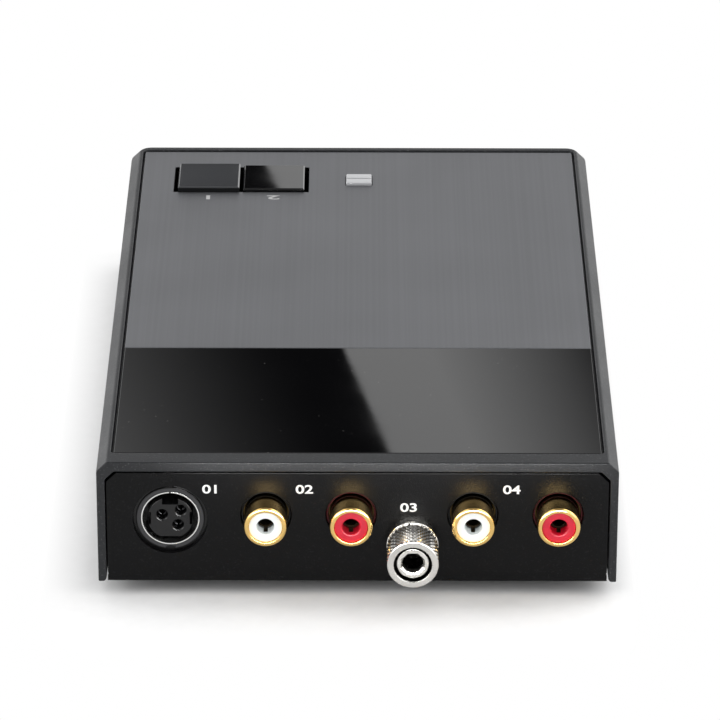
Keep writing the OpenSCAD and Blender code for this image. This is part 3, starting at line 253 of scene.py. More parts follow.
def effect_group(effect: Effect) -> bpy.types.NodeTree:
    """Finds a shared effect's node group, or builds it the first time.

    Args:
        effect: The effect wanted.

    Returns:
        The node group, with named inputs and outputs.
    """
    found = bpy.data.node_groups.get(effect.value)
    if found:
        return found
    group = bpy.data.node_groups.new(effect.value, "ShaderNodeTree")
    inputs = {"Vector": "Vector", "Scale": "Float"}
    if effect is Effect.BRUSH:
        inputs["Along"] = "Float"
    for name, kind in inputs.items():
        group.interface.new_socket(name, in_out="INPUT", socket_type=f"NodeSocket{kind}")
    web = EffectWeb(group, "NodeGroupInput", "Vector")
    results = getattr(web, effect.value)()
    for name in results:
        group.interface.new_socket(name, in_out="OUTPUT", socket_type="NodeSocketFloat")
    web.node("NodeGroupOutput", results)
    return group


@dataclass(frozen=True)
class Shade:
    """A zone of painted shade on a surface, in a ring round an axis that runs along Y: darkening
    painted into the colour where shade falls in a bore, a seam or a gap.

    It starts at front and ends at back, both measured along Y from base, which is in metres. Its
    axis goes through a CAD node's centre, moved by shift, or through the origin.
    """

    base: float
    front: float = -FAR
    back: float = FAR
    node: str = ""
    shift: Point = (0.0, 0.0)
    inner: float = 0.0
    outer: float = FAR
    fall: float = 0.1
    strength: float = 1.0
    edge_fall: ClassVar[float] = 0.1

    def mask(self, web: Web) -> Socket:
        """Builds the mask of the painted shade.

        Args:
            web: The material's node tree.

        Returns:
            A value from 0 outside the zone to its strength inside.
        """
        axis = middle(self.node) if self.node else Vector()
        centre = (axis.x + self.shift[0] * MM, 0.0, axis.z + self.shift[1] * MM)
        flat = web.vector("MULTIPLY", web.vector("SUBTRACT", web.place, centre), (1.0, 0.0, 1.0))
        reach, depth = web.vector("LENGTH", flat), web.part("Y")
        front, back = self.base + self.front * MM, self.base + self.back * MM
        result = web.span(depth, front, front + self.fall * MM, 0.0, self.strength)
        limits = (depth, back, 1.0), (reach, self.outer * MM, 1.0), (reach, self.inner * MM, 0.0)
        for value, low, to_low in limits:
            edge = web.span(value, low, low + self.edge_fall * MM, to_low, 1.0 - to_low)
            result = web.math("MULTIPLY", result, edge)
        return result


@dataclass(frozen=True)
class Finish:
    """A surface with fine grain, patchy roughness, a little settled dust and any zones of painted
    shade.

    pitch is the grain's spacing, depth its height, and patch the size of the handling patches.
    """

    name: str
    colour: Shown
    roughness: float = 0.5
    metallic: float = 0.0
    specular: float = 0.5
    pitch: float = 0.4
    depth: float = 0.01
    patch: float = 25.0
    shade_spread: float = 0.06
    rough_spread: float = 0.05
    fleck: float = 0.0
    sparkle: float = 0.0
    dust: float = 0.0
    shades: tuple[Shade, ...] = ()
    fleck_tone: ClassVar[float] = 2.2
    painted_shade_tone: ClassVar[float] = 0.01
    glint_share: ClassVar[float] = 0.7
    glint_colour: ClassVar[Shown] = (150, 150, 152)
    dust_scale: ClassVar[float] = 420.0
    dust_colour: ClassVar[Shown] = (176, 174, 170)

    @property
    def scale(self) -> float:
        """Returns how many grains lie on a metre."""
        return 1 / (self.pitch * MM)

    def tone(self, factor: float) -> Colour:
        """Returns the colour, made lighter or darker by a factor."""
        return linear(self.colour, factor)

    def relief(self, web: Web) -> Mapping[str, Socket]:
        """Returns the relief's height and its flecks' mask."""
        return web.effect(Effect.GRAIN, self.scale)

    def base_colour(self, web: Web, patches: Socket, flecks: Socket) -> Socket:
        """Mixes the patches, the flecks, the dust and the zones of painted shade into the colour.

        Args:
            web: The material's node tree.
            patches: The patch mask.
            flecks: The relief's mask.

        Returns:
            The colour's socket.
        """
        spread = self.shade_spread
        colour = web.mix(patches, self.tone(1 - spread), self.tone(1 + spread))
        if self.fleck:
            strength = web.math("MULTIPLY", flecks, self.fleck)
            colour = web.mix(strength, colour, self.tone(self.fleck_tone))
        if self.sparkle:
            glints = web.effect(Effect.GRAIN, self.glint_share * self.scale)["Height"]
            strength = web.span(glints, 0.6, 0.68, 0.0, self.sparkle)
            colour = web.mix(strength, colour, linear(self.glint_colour))
        if self.dust:
            specks = web.effect(Effect.DUST, self.dust_scale)["Mask"]
            strength = web.math("MULTIPLY", specks, self.dust)
            colour = web.mix(strength, colour, linear(self.dust_colour))
        # Painted shade: each zone darkens the colour where shade falls.
        for shade in self.shades:
            colour = web.mix(shade.mask(web), colour, self.tone(self.painted_shade_tone))
        return colour

    def shader(self, web: Web) -> bpy.types.Node:
        """Builds the surface shader.

        Args:
            web: The material's node tree.

        Returns:
            The shader node.
        """
        relief = self.relief(web)
        patches = web.effect(Effect.PATCHES, 1 / (self.patch * MM))["Mask"]
        low = max(0.0, self.roughness - self.rough_spread)
        high = min(1.0, self.roughness + self.rough_spread)
        bump = web.node("ShaderNodeBump", {"Distance": self.depth * MM, "Height": relief["Height"]})
        return web.node("ShaderNodeBsdfPrincipled", {
            "Base Color": self.base_colour(web, patches, relief["Mask"]),
            "Roughness": web.span(patches, 0.0, 1.0, low, high),
            "Metallic": self.metallic,
            "Specular IOR Level": self.specular,
            "Normal": bump.outputs["Normal"],
        })

    def material(self) -> bpy.types.Material:
        """Builds this finish's material, or finds it when it was built before.

        Returns:
            The material, named after the finish.
        """
        title = f"{self.name}_finish"
        found = bpy.data.materials.get(title)
        if found:
            return found
        made = bpy.data.materials.new(title)
        made.use_nodes = True
        web = Web(made.node_tree)
        web.node("ShaderNodeOutputMaterial", {"Surface": self.shader(web).outputs["BSDF"]})
        return made


@dataclass(frozen=True)
class BrushedMetal(Finish):
    """Metal with long brushed lines along Y."""

    along: float = 40.0

    def relief(self, web: Web) -> Mapping[str, Socket]:
        """Returns the brushed lines' height and mask."""
        return web.effect(Effect.BRUSH, self.scale, Along=1 / (self.along * MM))


@dataclass(frozen=True)
class ClearPlastic(Finish):
    """Clear moulded plastic with faint flow lines."""

    clarity: float = 0.9
    bending: float = 1.58

    def shader(self, web: Web) -> bpy.types.Node:
        """Builds the clear shader from the plain one.

        Args:
            web: The material's node tree.

        Returns:
            The shader node.
        """
        made = super().shader(web)
        made.inputs["Transmission Weight"].default_value = self.clarity
        made.inputs["IOR"].default_value = self.bending
        return made


@dataclass(frozen=True)
class BoardMask(Finish):
    """Solder mask over copper, whose tracks show as paler lines."""

    track_pitch: float = 2.54
    track_tone: float = 2.0
    track_strength: float = 0.6

    def base_colour(self, web: Web, patches: Socket, flecks: Socket) -> Socket:
        """Lays tracks over the plain colour.

        Args:
            web: The material's node tree.
            patches: The patch mask.
            flecks: The relief's mask.

        Returns:
            The colour's socket.
        """
        plain = super().base_colour(web, patches, flecks)
        ports = {"Vector": web.place, "Scale": 1 / (self.track_pitch * MM)}
        options = {"distance": "CHEBYCHEV", "feature": "DISTANCE_TO_EDGE"}
        cells = web.node("ShaderNodeTexVoronoi", ports, **options).outputs["Distance"]
        tracks = web.math("MULTIPLY", web.span(cells, 0.03, 0.06, 1.0, 0.0), self.track_strength)
        return web.mix(tracks, plain, self.tone(self.track_tone))


# Painted shade on the jack barrels from 2.2 mm before the panel's face inwards, where the panel
# holes shade them.
JACK_ROOT_SHADE = Shade(PANEL_Y, -2.2, fall=2.0, strength=0.93)
# Painted shade deep in the insulators' bores and relief slots.
SOCKET_BORE_SHADE = Shade(PANEL_Y, -2.6, fall=0.5, strength=0.88)
# Painted shade in the ground post's bore.
POST_BORE_SHADE = Shade(PANEL_Y, -9.2, -4.0, "ground_post", outer=2.3, fall=1.2)
# Painted shade on the end of the ground post's bore.
POST_END_SHADE = Shade(PANEL_Y, -4.0, node="ground_post", outer=1.6, strength=0.9)
# Painted shade on the post's side in the gap inside the nut.
POST_GAP_SHADE = Shade(PANEL_Y, -9.95, -9.0, "ground_post", inner=3.0)
# Painted shade in the nut's front recess.
NUT_RECESS_SHADE = Shade(PANEL_Y, -10.35, node="ground_post", outer=3.72)
# Painted shade in the valleys of the nut's knurl.
KNURL_VALLEY_SHADE = Shade(PANEL_Y, -10.05, -2.5, "ground_post", inner=3.9, outer=4.8, strength=0.35)
# Painted shade on the inlet housing outside its ring, as in the seam round it.
INLET_SEAM_SHADE = Shade(PANEL_Y, -20.0, node="power_inlet_shield", inner=6.4)
# Painted shade in the notch at the bottom of the inlet's ring.
INLET_NOTCH_SHADE = Shade(PANEL_Y, -20.0, node="power_inlet_shield", shift=(0.0, -6.9), outer=0.75)
# Painted shade on the far wall of the button window, in the shell and the plate.
WINDOW_WALL_SHADE = Shade(
    middle("subsonic_button").y, 6.84, 6.95, "subsonic_button", (7.1, 0.0), outer=15.2, fall=0.02,
    strength=0.95
)
# Painted shade on the subsonic button's front face.
BUTTON_FRONT_SHADE = Shade(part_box("subsonic_button")[0].y, back=0.92, strength=0.85)
# Painted shade along the light pipe's front edge.
PIPE_FRONT_SHADE = Shade(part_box("light_pipe")[0].y, back=0.2, strength=0.6)
# Painted shade in the light pipe's groove.
PIPE_GROOVE_SHADE = Shade(middle("light_pipe").y, -0.35, 0.05, fall=0.05, strength=0.3)

# Every finish, by the name of the material slot or of the kind of piece that it dresses.
FINISHES: dict[str, Finish] = {finish.name: finish for finish in (
    Finish(
        "powder_coat", (31, 32, 34), 0.42, specular=0.22, pitch=0.28, depth=0.03, fleck=0.2,
        sparkle=0.14, dust=0.1, shades=(WINDOW_WALL_SHADE,)
    ),
    BrushedMetal(
        "brushed_dark", (114, 115, 118), 0.45, 1.0, pitch=0.1, depth=0.0012, shade_spread=0.035,
        rough_spread=0.02, fleck=0.05, dust=0.1, shades=(WINDOW_WALL_SHADE,)
    ),
    Finish("gloss_black", (7, 7, 8), 0.03, pitch=8.0, depth=0.002, rough_spread=0.015, dust=0.12),
    Finish(
        "satin_black", (7, 7, 8), 0.3, specular=0.12, pitch=0.28, depth=0.06, fleck=0.05,
        sparkle=0.02, dust=0.04
    ),
    Finish("print_white", (244, 244, 244), 0.6, pitch=0.12, depth=0.004, shade_spread=0.02),
    Finish("print_grey", (158, 158, 158), 0.6, pitch=0.12, depth=0.004, shade_spread=0.02),
    Finish("button_black", (8, 8, 9), 0.04, pitch=6.0, depth=0.002, rough_spread=0.02, dust=0.12),
    # The subsonic button: the black button's finish, slightly rougher, in a lighter grey that is a
    # painted reflection on its top, with painted shade on its front face.
    Finish(
        "button_painted_sheen", (58, 59, 61), 0.08, pitch=6.0, depth=0.002, rough_spread=0.02, dust=0.12,
        shades=(BUTTON_FRONT_SHADE,)
    ),
    ClearPlastic(
        "light_pipe_clear", (184, 185, 187), 0.14, pitch=0.4, depth=0.03, clarity=0.15,
        shades=(PIPE_GROOVE_SHADE, PIPE_FRONT_SHADE)
    ),
    Finish(
        "gold_plate", (206, 172, 106), 0.16, 1.0, pitch=0.5, depth=0.002, patch=5.0,
        rough_spread=0.03, shades=(JACK_ROOT_SHADE,)
    ),
    Finish(
        "insulator_white", (240, 244, 243), 0.4, pitch=0.5, depth=0.004, patch=4.0,
        shade_spread=0.02, shades=(SOCKET_BORE_SHADE,)
    ),
    Finish(
        "insulator_red", (204, 16, 48), 0.4, specular=0.35, pitch=0.5, depth=0.004, patch=4.0,
        shade_spread=0.04, shades=(SOCKET_BORE_SHADE,)
    ),
    # The phono contacts and their tongues: gold darkened to paint the shade in the insulators'
    # bores.
    Finish("contact_gold_painted_shade", (48, 40, 28), 0.5, 1.0, pitch=0.5, depth=0.004),
    # The red jacks' housings: their red, darkened to paint the shade in the panel holes round them.
    Finish("jack_red_painted_shade", (66, 6, 10), specular=0.15, depth=0.006),
    Finish("jack_black", (5, 5, 6), specular=0.15, depth=0.006),
    Finish(
        "inlet_black", (52, 52, 54), 0.34, specular=0.3, depth=0.006, dust=0.05,
        shades=(INLET_SEAM_SHADE, INLET_NOTCH_SHADE)
    ),
    Finish("core_black", (14, 14, 15), 0.3, specular=0.3, depth=0.006, dust=0.05),
    Finish("shield_nickel", (206, 206, 204), 0.25, 1.0, pitch=0.3, depth=0.003, patch=6.0),
    Finish("contact_dark", (72, 72, 74), 0.4, 1.0, pitch=0.3, depth=0.004),
    Finish(
        "nickel_plate", (206, 202, 194), 0.22, 1.0, pitch=0.3, depth=0.003, patch=6.0,
        rough_spread=0.06
    ),
    Finish(
        "knurled_nickel", (188, 186, 182), 0.24, 1.0, pitch=0.2, depth=0.006, patch=3.0,
        shades=(NUT_RECESS_SHADE, KNURL_VALLEY_SHADE)
    ),
    Finish(
        "post_nickel", (200, 198, 193), 0.26, 1.0, pitch=0.3, depth=0.003, patch=3.0,
        shades=(POST_BORE_SHADE, POST_END_SHADE, POST_GAP_SHADE)
    ),
    Finish("contact_tin", (190, 190, 188), 0.34, 1.0, pitch=0.3, depth=0.004),
    Finish("screw_steel", (172, 173, 176), 0.3, 1.0, pitch=0.3, depth=0.004),
    Finish("foot_rubber", (30, 30, 30), 0.85, pitch=0.25, depth=0.02, dust=0.35),
    BoardMask("board_green", (24, 78, 46), 0.3, pitch=0.6),
    Finish("plunger_white", (222, 220, 212), 0.4, pitch=0.5, depth=0.004),
    Finish("switch_grey", (70, 72, 76), 0.45, depth=0.006, dust=0.2),
    ClearPlastic("lamp_clear", (240, 240, 235), 0.08, pitch=1.0),
    Finish("can_sleeve", (28, 34, 42), 0.28, pitch=0.6, depth=0.006, dust=0.15),
    Finish("film_red", (150, 34, 28), 0.3, pitch=0.5, depth=0.006, dust=0.15),
    Finish("chip_black", (34, 34, 35), 0.55, pitch=0.15, depth=0.008, dust=0.15),
    Finish("resistor_blue", (96, 146, 186), 0.35, pitch=0.3, depth=0.006),
    Finish("dip_red", (168, 26, 30), 0.4, depth=0.006, dust=0.1),
)}


class Bench:
    """Blender's own modelling tools, used on one object at a time."""

    @staticmethod
    def pick(*objects: Object) -> None:
        """Leaves edit mode and selects some objects alone.

        Args:
            objects: What to select, the active one first.
        """
        if bpy.context.mode != "OBJECT":
            bpy.ops.object.mode_set(mode="OBJECT")
        bpy.ops.object.select_all(action="DESELECT")
        for one in objects:
            one.select_set(True)
        if objects:
            bpy.context.view_layer.objects.active = objects[0]

    @staticmethod
    @contextmanager
    def editing(target: Object, kind: str = "FACE") -> Iterator[None]:
        """Opens an object in edit mode with everything selected, and closes it again.

        Args:
            target: The object to edit.
            kind: What is selected: VERT, EDGE or FACE.
        """
        Bench.pick(target)
        bpy.ops.object.mode_set(mode="EDIT")
        bpy.ops.mesh.select_mode(type=kind)
        bpy.ops.mesh.select_all(action="SELECT")
        yield
        bpy.ops.object.mode_set(mode="OBJECT")

    @staticmethod
    def choose(target: Object, kind: str, test: Callable[..., bool]) -> None:
        """Selects only what passes a test, in edit mode.

        Args:
            target: The object in edit mode.
            kind: Which elements to look at: verts, edges or faces.
            test: Says whether an element is wanted.
        """
        bpy.ops.mesh.select_all(action="DESELECT")
        for element in getattr(bmesh.from_edit_mesh(target.data), kind):
            if test(element):
                element.select_set(True)
        bmesh.update_edit_mesh(target.data)

    @staticmethod
    def named(name: str) -> Object:
        """Names the object that was just added.

        Args:
            name: The name of the object and of its mesh.

        Returns:
            The object.
        """
        made = bpy.context.object
        made.name = made.data.name = name
        return made

    @staticmethod
    def copied(name: str, source: Object) -> Object:
        """Copies an object with its own mesh.

        Args:
            name: The copy's name.
            source: The object to copy.

        Returns:
            The copy.
        """
        made = bpy.data.objects.new(name, source.data.copy())
        bpy.context.scene.collection.objects.link(made)
        return made

    @staticmethod
    def modify(target: Object, kind: str, **settings: object) -> None:
        """Adds a modifier and applies it.

        Args:
            target: The object to change.
            kind: The modifier's type.
            settings: The modifier's options.
        """
        Bench.pick(target)
        modifier = target.modifiers.new("step", kind)
        for name, value in settings.items():
            setattr(modifier, name, value)
        bpy.ops.object.modifier_apply(modifier=modifier.name)

    @staticmethod
    def bevel(target: Object, width: float, segments: int = 2, least: float = 30.0) -> None:
        """Rounds the sharp edges.

        Args:
            target: The object to round.
            width: The rounding's width.
            segments: How many steps round each edge.
            least: The least angle of an edge that is rounded, in degrees.
        """
        Bench.modify(
            target, "BEVEL", width=width * MM, segments=segments, limit_method="ANGLE",
            angle_limit=math.radians(least), use_clamp_overlap=False, miter_outer="MITER_ARC"
        )

    @staticmethod
    def merge(target: Object, part: Object, operation: str) -> None:
        """Joins a solid to an object by UNION or cuts it out by DIFFERENCE, and removes it."""
        Bench.modify(target, "BOOLEAN", operation=operation, solver="EXACT", object=part)
        bpy.data.objects.remove(part)

    @staticmethod
    def flatten(target: Object, gap: float) -> None:
        """Merges an object's doubles and its coplanar faces.

        Args:
            target: The object to clean.
            gap: How far doubles lie apart at most, in the mesh's own measure.
        """
        with Bench.editing(target):
            bpy.ops.mesh.remove_doubles(threshold=gap)
            bpy.ops.mesh.dissolve_limited(angle_limit=math.radians(1.0))

    @staticmethod
    def tidy(target: Object, smooth: float = 30.0) -> Object:
        """Applies the place, merges doubles, turns all faces outwards and smooths the shading.

        Args:
            target: The object to finish.
            smooth: The greatest angle that is shaded smooth, in degrees.

        Returns:
            The same object.
        """
        Bench.pick(target)
        bpy.ops.object.transform_apply()
        with Bench.editing(target):
            bpy.ops.mesh.remove_doubles(threshold=1e-7)
            bpy.ops.mesh.normals_make_consistent(inside=False)
        Bench.pick(target)
        bpy.ops.object.shade_smooth_by_angle(angle=math.radians(smooth))
        return target

    @staticmethod
    def settled(target: Object, smooth: float = 32.0) -> Object:
        """Smooths the roundings and keeps the flat faces' shading flat.

        Args:
            target: The object to finish.
            smooth: The greatest angle that is shaded smooth, in degrees.

        Returns:
            The same object.
        """
        Bench.pick(target)
        bpy.ops.object.shade_smooth_by_angle(angle=math.radians(smooth))
        Bench.modify(target, "WEIGHTED_NORMAL", weight=50, keep_sharp=True)
        return target

    @staticmethod
    def refined(node: str, width: float, segments: int = 2) -> Object:
        """Copies a CAD node, merges its loose triangles into clean faces and rounds its edges.

        Args:
            node: The CAD node.
            width: The rounding's width.
            segments: How many steps round each edge.

        Returns:
            The new object, named after the node.
        """
        made = Bench.copied(f"{node}_dressed", frame["nodes"][node])
        Bench.pick(made)
        bpy.ops.mesh.customdata_custom_splitnormals_clear()
        Bench.flatten(made, 1e-6)
        Bench.bevel(made, width, segments)
        return Bench.settled(made)

    @staticmethod
    def block(name: str, low: Vector, high: Vector) -> Object:
        """Adds a box between two corners, as a start or as a cutting tool.

        Args:
            name: The box's name.
            low: Its lowest corner.
            high: Its highest corner.

        Returns:
            The box.
        """
        Bench.pick()
        bpy.ops.mesh.primitive_cube_add(size=1.0, location=(low + high) / 2)
        made = Bench.named(name)
        made.scale = high - low
        bpy.ops.object.transform_apply()
        return made

    @staticmethod
    def twin(source: Object, name: str, shift: Vector) -> Object:
        """Copies a finished piece to another place.

        Args:
            source: The piece to copy.
            name: The copy's name.
            shift: How far the copy lies from the first.

        Returns:
            The copy.
        """
        made = Bench.copied(name, source)
        made.data.name = name
        made.data.transform(Matrix.Translation(shift))
        return made

    @staticmethod
    def joined(first: Object, *others: Object) -> Object:
        """Makes several pieces one object.

        Args:
            first: The piece that the others become part of.
            others: The other pieces.

        Returns:
            The first piece.
        """
        Bench.pick(first, *others)
        bpy.ops.object.join()
        return first


def arc(centre: Point, radius: float, first: float, last: float, count: int) -> list[Point]:
    """Lists the points of an arc in an outline.

    Args:
        centre: The arc's centre, as radius and distance out.
        radius: The arc's radius.
        first: The start angle in degrees, 0 pointing away from the axis and 90 out of the panel.
        last: The end angle in degrees.
        count: How many points.

    Returns:
        The points, from first to last.
    """
    points = []
    for step in range(count):
        angle = math.radians(first + (last - first) * step / (count - 1))
        points.append((centre[0] + radius * math.cos(angle), centre[1] + radius * math.sin(angle)))
    return points


class SubAssembly:
    """A group of pieces that is modelled and dressed together."""

    def seat(self, piece: Object, *nodes: str, body: str = CHASSIS, finish: str = "") -> None:
        """Dresses a piece, puts it on its body and lets it stand for its CAD nodes.

        Args:
            piece: The finished object.
            nodes: The CAD nodes it stands for; the first gives its material slot.
            body: The body it rides on.
            finish: Its finish, if not that of its slot.
        """
        piece.data.materials.clear()
        piece.data.materials.append(FINISHES[finish or SLOT_OF[nodes[0]]].material())
        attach(piece, body)
        if nodes:
            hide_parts(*nodes)
        LOG.info("%s: %d faces, rides on %s", piece.name, len(piece.data.polygons), body)

    def refine(self, width: float, *nodes: str, segments: int = 2, **dress: str) -> None:
        """Replaces CAD nodes by copies with rounded edges.

        Args:
            width: The rounding's width.
            nodes: The CAD nodes.
            segments: How many steps round each edge.
            dress: Their body and finish, where seat needs them.
        """
        for node in nodes:
            self.seat(Bench.refined(node, width, segments), node, **dress)

    def build(self) -> None:
        """Builds every piece of the sub-assembly."""
        raise NotImplementedError


class PanelPart(SubAssembly):
    """A sub-assembly with pieces that are turned round an axis out of the connector panel."""

    anchor: ClassVar[str] = ""

    @cached_property
    def centre(self) -> Vector:
        """Returns the point where the axis of the anchor node meets the panel's face."""
        return panel_point(self.anchor)

    def spot(self, x: float, out: float, z: float = 0.0) -> Vector:
        """Returns the point x beside the axis, out before the panel's face and z above the axis."""
        return self.centre + Vector((x * MM, -out * MM, z * MM))

    def turned(self, name: str, outline: Sequence[Point], steps: int = 64) -> Object:
        """Turns an outline round the axis.

        Args:
            name: The new object's name.
            outline: Radius and distance out of each point; the outline is closed unless both its
                ends lie on the axis.
            steps: How many steps make the full turn.

        Returns:
            The new object.
        """
        places = [self.spot(radius, out) for radius, out in outline]
        Bench.pick()
        bpy.ops.mesh.primitive_plane_add(size=MM, location=places[0])
        made = Bench.named(name)
        bpy.ops.object.transform_apply()
        with Bench.editing(made, "VERT"):
            bpy.ops.mesh.merge(type="CENTER")
            for before, after in zip(places, places[1:]):
                bpy.ops.mesh.extrude_region_move(TRANSFORM_OT_translate={"value": after - before})
            if outline[0][0] > 0 or outline[-1][0] > 0:
                ends = (places[0], places[-1])
                Bench.choose(made, "verts", lambda v: any((v.co - e).length < 1e-7 for e in ends))
                bpy.ops.mesh.edge_face_add()
            bpy.ops.mesh.select_all(action="SELECT")
            bpy.ops.mesh.spin(steps=steps, angle=math.tau, center=self.centre, axis=(0.0, 1.0, 0.0))
        return Bench.tidy(made)


@dataclass
class Case(SubAssembly):
    """The cast-look top shell, its two inlays and the folded tray with the connector panel."""

    shell_edge: float = 0.28
    tray_edge: float = 0.15
    plate_edge: float = 0.07
    fold_depth: float = 0.95
    fold_rise: float = 1.2
    fold_edge: float = 0.35
    taper_width: float = 0.8
    taper_height: float = 2.05

    def tray(self) -> Object:
        """Rounds the tray and fills the outside of the panel's lower fold, which is tighter.

        Returns:
            The tray.
        """
        made = Bench.refined("base_tray", self.tray_edge)
        low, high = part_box("base_tray")
        top = Vector((high.x, low.y + self.fold_depth * MM, low.z + self.fold_rise * MM))
        fold = Bench.block("fold", low, top)
        for side, edge in ((-1.0, low.x), (1.0, high.x)):
            corner = Vector((edge - side * self.taper_width * MM, low.y, low.z))
            outward = (side * self.taper_height * MM, 0.0, -self.taper_width * MM)
            with Bench.editing(fold):
                bpy.ops.mesh.bisect(
                    plane_co=corner, plane_no=outward, clear_outer=True, use_fill=True
                )
        Bench.bevel(fold, self.fold_edge, 4)
        Bench.merge(made, fold, "UNION")
        Bench.pick(made)
        bpy.ops.mesh.customdata_custom_splitnormals_clear()
        return Bench.settled(Bench.tidy(made))

    def build(self) -> None:
        """Rounds the shell's, the tray's and the inlays' edges."""
        self.refine(self.shell_edge, "top_shell", segments=3)
        self.seat(self.tray(), "base_tray")
        self.refine(self.plate_edge, "brushed_plate", "gloss_panel")


@dataclass
class Controls(SubAssembly):
    """The two push buttons and the light pipe between the window and the lamp."""

    button_edge: float = 0.03
    pipe_edge: float = 0.12

    def build(self) -> None:
        """Rounds the buttons and the light pipe."""
        # The subsonic button takes the finish whose lighter grey is a painted reflection.
        for key, finish in (("subsonic", "button_painted_sheen"), ("mono", "")):
            self.refine(self.button_edge, f"{key}_button", body=f"{key}_key", finish=finish)
        self.refine(self.pipe_edge, "light_pipe")


class Channel(Enum):
    """The four phono jacks, by the name that their CAD nodes start with."""

    INPUT_LEFT = "input_left"
    INPUT_RIGHT = "input_right"
    OUTPUT_LEFT = "output_left"
    OUTPUT_RIGHT = "output_right"


@dataclass
class PhonoJacks(PanelPart):
    """Four phono jacks: a turned barrel with a rolled lip, and an insulator with a slotted bore."""

    anchor: ClassVar[str] = f"{Channel.INPUT_LEFT.value}_barrel"
    barrel_radius: float = 4.2
    root_radius: float = 4.4
    root_drop: float = 1.5
    barrel_bore: float = 3.25
    barrel_reach: float = 5.6
    lip_radius: float = 0.7
    lip_inner: float = 0.2
    root_depth: float = 9.7
    insulator_radius: float = 3.2
    insulator_face: float = 5.2
    insulator_back: float = 1.0
    face_edge: float = 0.12
    pin_radius: float = 1.7
    pin_edge: float = 0.4
    pin_depth: float = 3.6
    contact_radius: float = 1.9
    contact_edge: float = 0.05
    slot_width: float = 0.85
    slot_reach: float = 2.7
    slot_start: float = 1.4
    tongue_gap: float = 0.04
    tongue_foot: float = 0.3
    housing_edge: float = 0.1

    @property
    def floor(self) -> float:
        """Returns how far out of the panel the floor of the insulator's bore lies."""
        return self.insulator_face - self.pin_depth

    def barrel(self) -> Object:
        """Turns the barrel, with its rolled lip and its wider root behind the panel.

        Returns:
            The first jack's barrel.
        """
        outer, inner, reach = self.barrel_radius, self.barrel_bore, self.barrel_reach
        lip, edge = self.lip_radius, self.lip_inner
        return self.turned("phono_barrel", [
            (inner, -self.root_depth), (self.root_radius, -self.root_depth),
            (self.root_radius, -self.root_drop), (outer, -self.root_drop),
            *arc((outer - lip, reach - lip), lip, 0.0, 90.0, 8),
            *arc((inner + edge, reach - edge), edge, 90.0, 180.0, 5),
        ])

    def insulator(self) -> Object:
        """Turns the insulator and cuts the relief slot in the floor of its bore.

        Returns:
            The first jack's insulator.
        """
        outer, face, bore = self.insulator_radius, self.insulator_face, self.pin_radius
        edge, mouth, end = self.face_edge, self.pin_edge, self.insulator_back - self.root_depth
        made = self.turned("phono_insulator", [
            (0.0, -self.root_depth), (outer, -self.root_depth),
            *arc((outer - edge, face - edge), edge, 0.0, 90.0, 4),
            *arc((bore + mouth, face - mouth), mouth, 90.0, 180.0, 6),
            (bore, self.floor), (self.contact_radius, self.floor), (self.contact_radius, end),
            (0.0, end),
        ])
        half = self.slot_width / 2
        low = self.spot(-half, face - self.slot_start, -self.slot_reach)
        Bench.merge(made, Bench.block("slot_tool", low, self.spot(half, self.floor)), "DIFFERENCE")
        return Bench.tidy(made)

    def contact(self, node: str, shift: Vector) -> Object:
        """Rounds a centre contact and adds the spring tongue that lies in the insulator's slot.

        Args:
            node: The contact's CAD node.
            shift: How far its jack lies from the first.

        Returns:
            The contact with its tongue.
        """
        gap = self.tongue_gap
        half, start = self.slot_width / 2 - gap, self.insulator_face - self.slot_start - gap
        low = self.spot(-half, start, gap - self.slot_reach) + shift
        high = self.spot(half, self.floor - self.tongue_foot, -self.pin_radius - gap) + shift
        tongue = Bench.block("tongue", low, high)
        Bench.bevel(tongue, self.contact_edge)
        return Bench.tidy(Bench.joined(Bench.refined(node, self.contact_edge), tongue))

    def build(self) -> None:
        """Models one jack and copies it to the four places."""
        sources = {"barrel": self.barrel(), "insulator": self.insulator()}
        shifts = {one: panel_point(f"{one.value}_barrel") - self.centre for one in Channel}
        for channel, shift in shifts.items():
            for kind, source in sources.items():
                node = f"{channel.value}_{kind}"
                self.seat(Bench.twin(source, f"{node}_dressed", shift), node)
        for source in sources.values():
            bpy.data.objects.remove(source)
        for channel, shift in shifts.items():
            # The red jacks' housings take a red darkened to paint the shade in the panel holes.
            red = SLOT_OF[f"{channel.value}_insulator"] == "insulator_red"
            finish = "jack_red_painted_shade" if red else "jack_black"
            self.refine(self.housing_edge, f"{channel.value}_housing", finish=finish)
            node = f"{channel.value}_contact"
            # The contact and its tongue take a gold darkened to paint the shade in the bore.
            self.seat(self.contact(node, shift), node, finish="contact_gold_painted_shade")


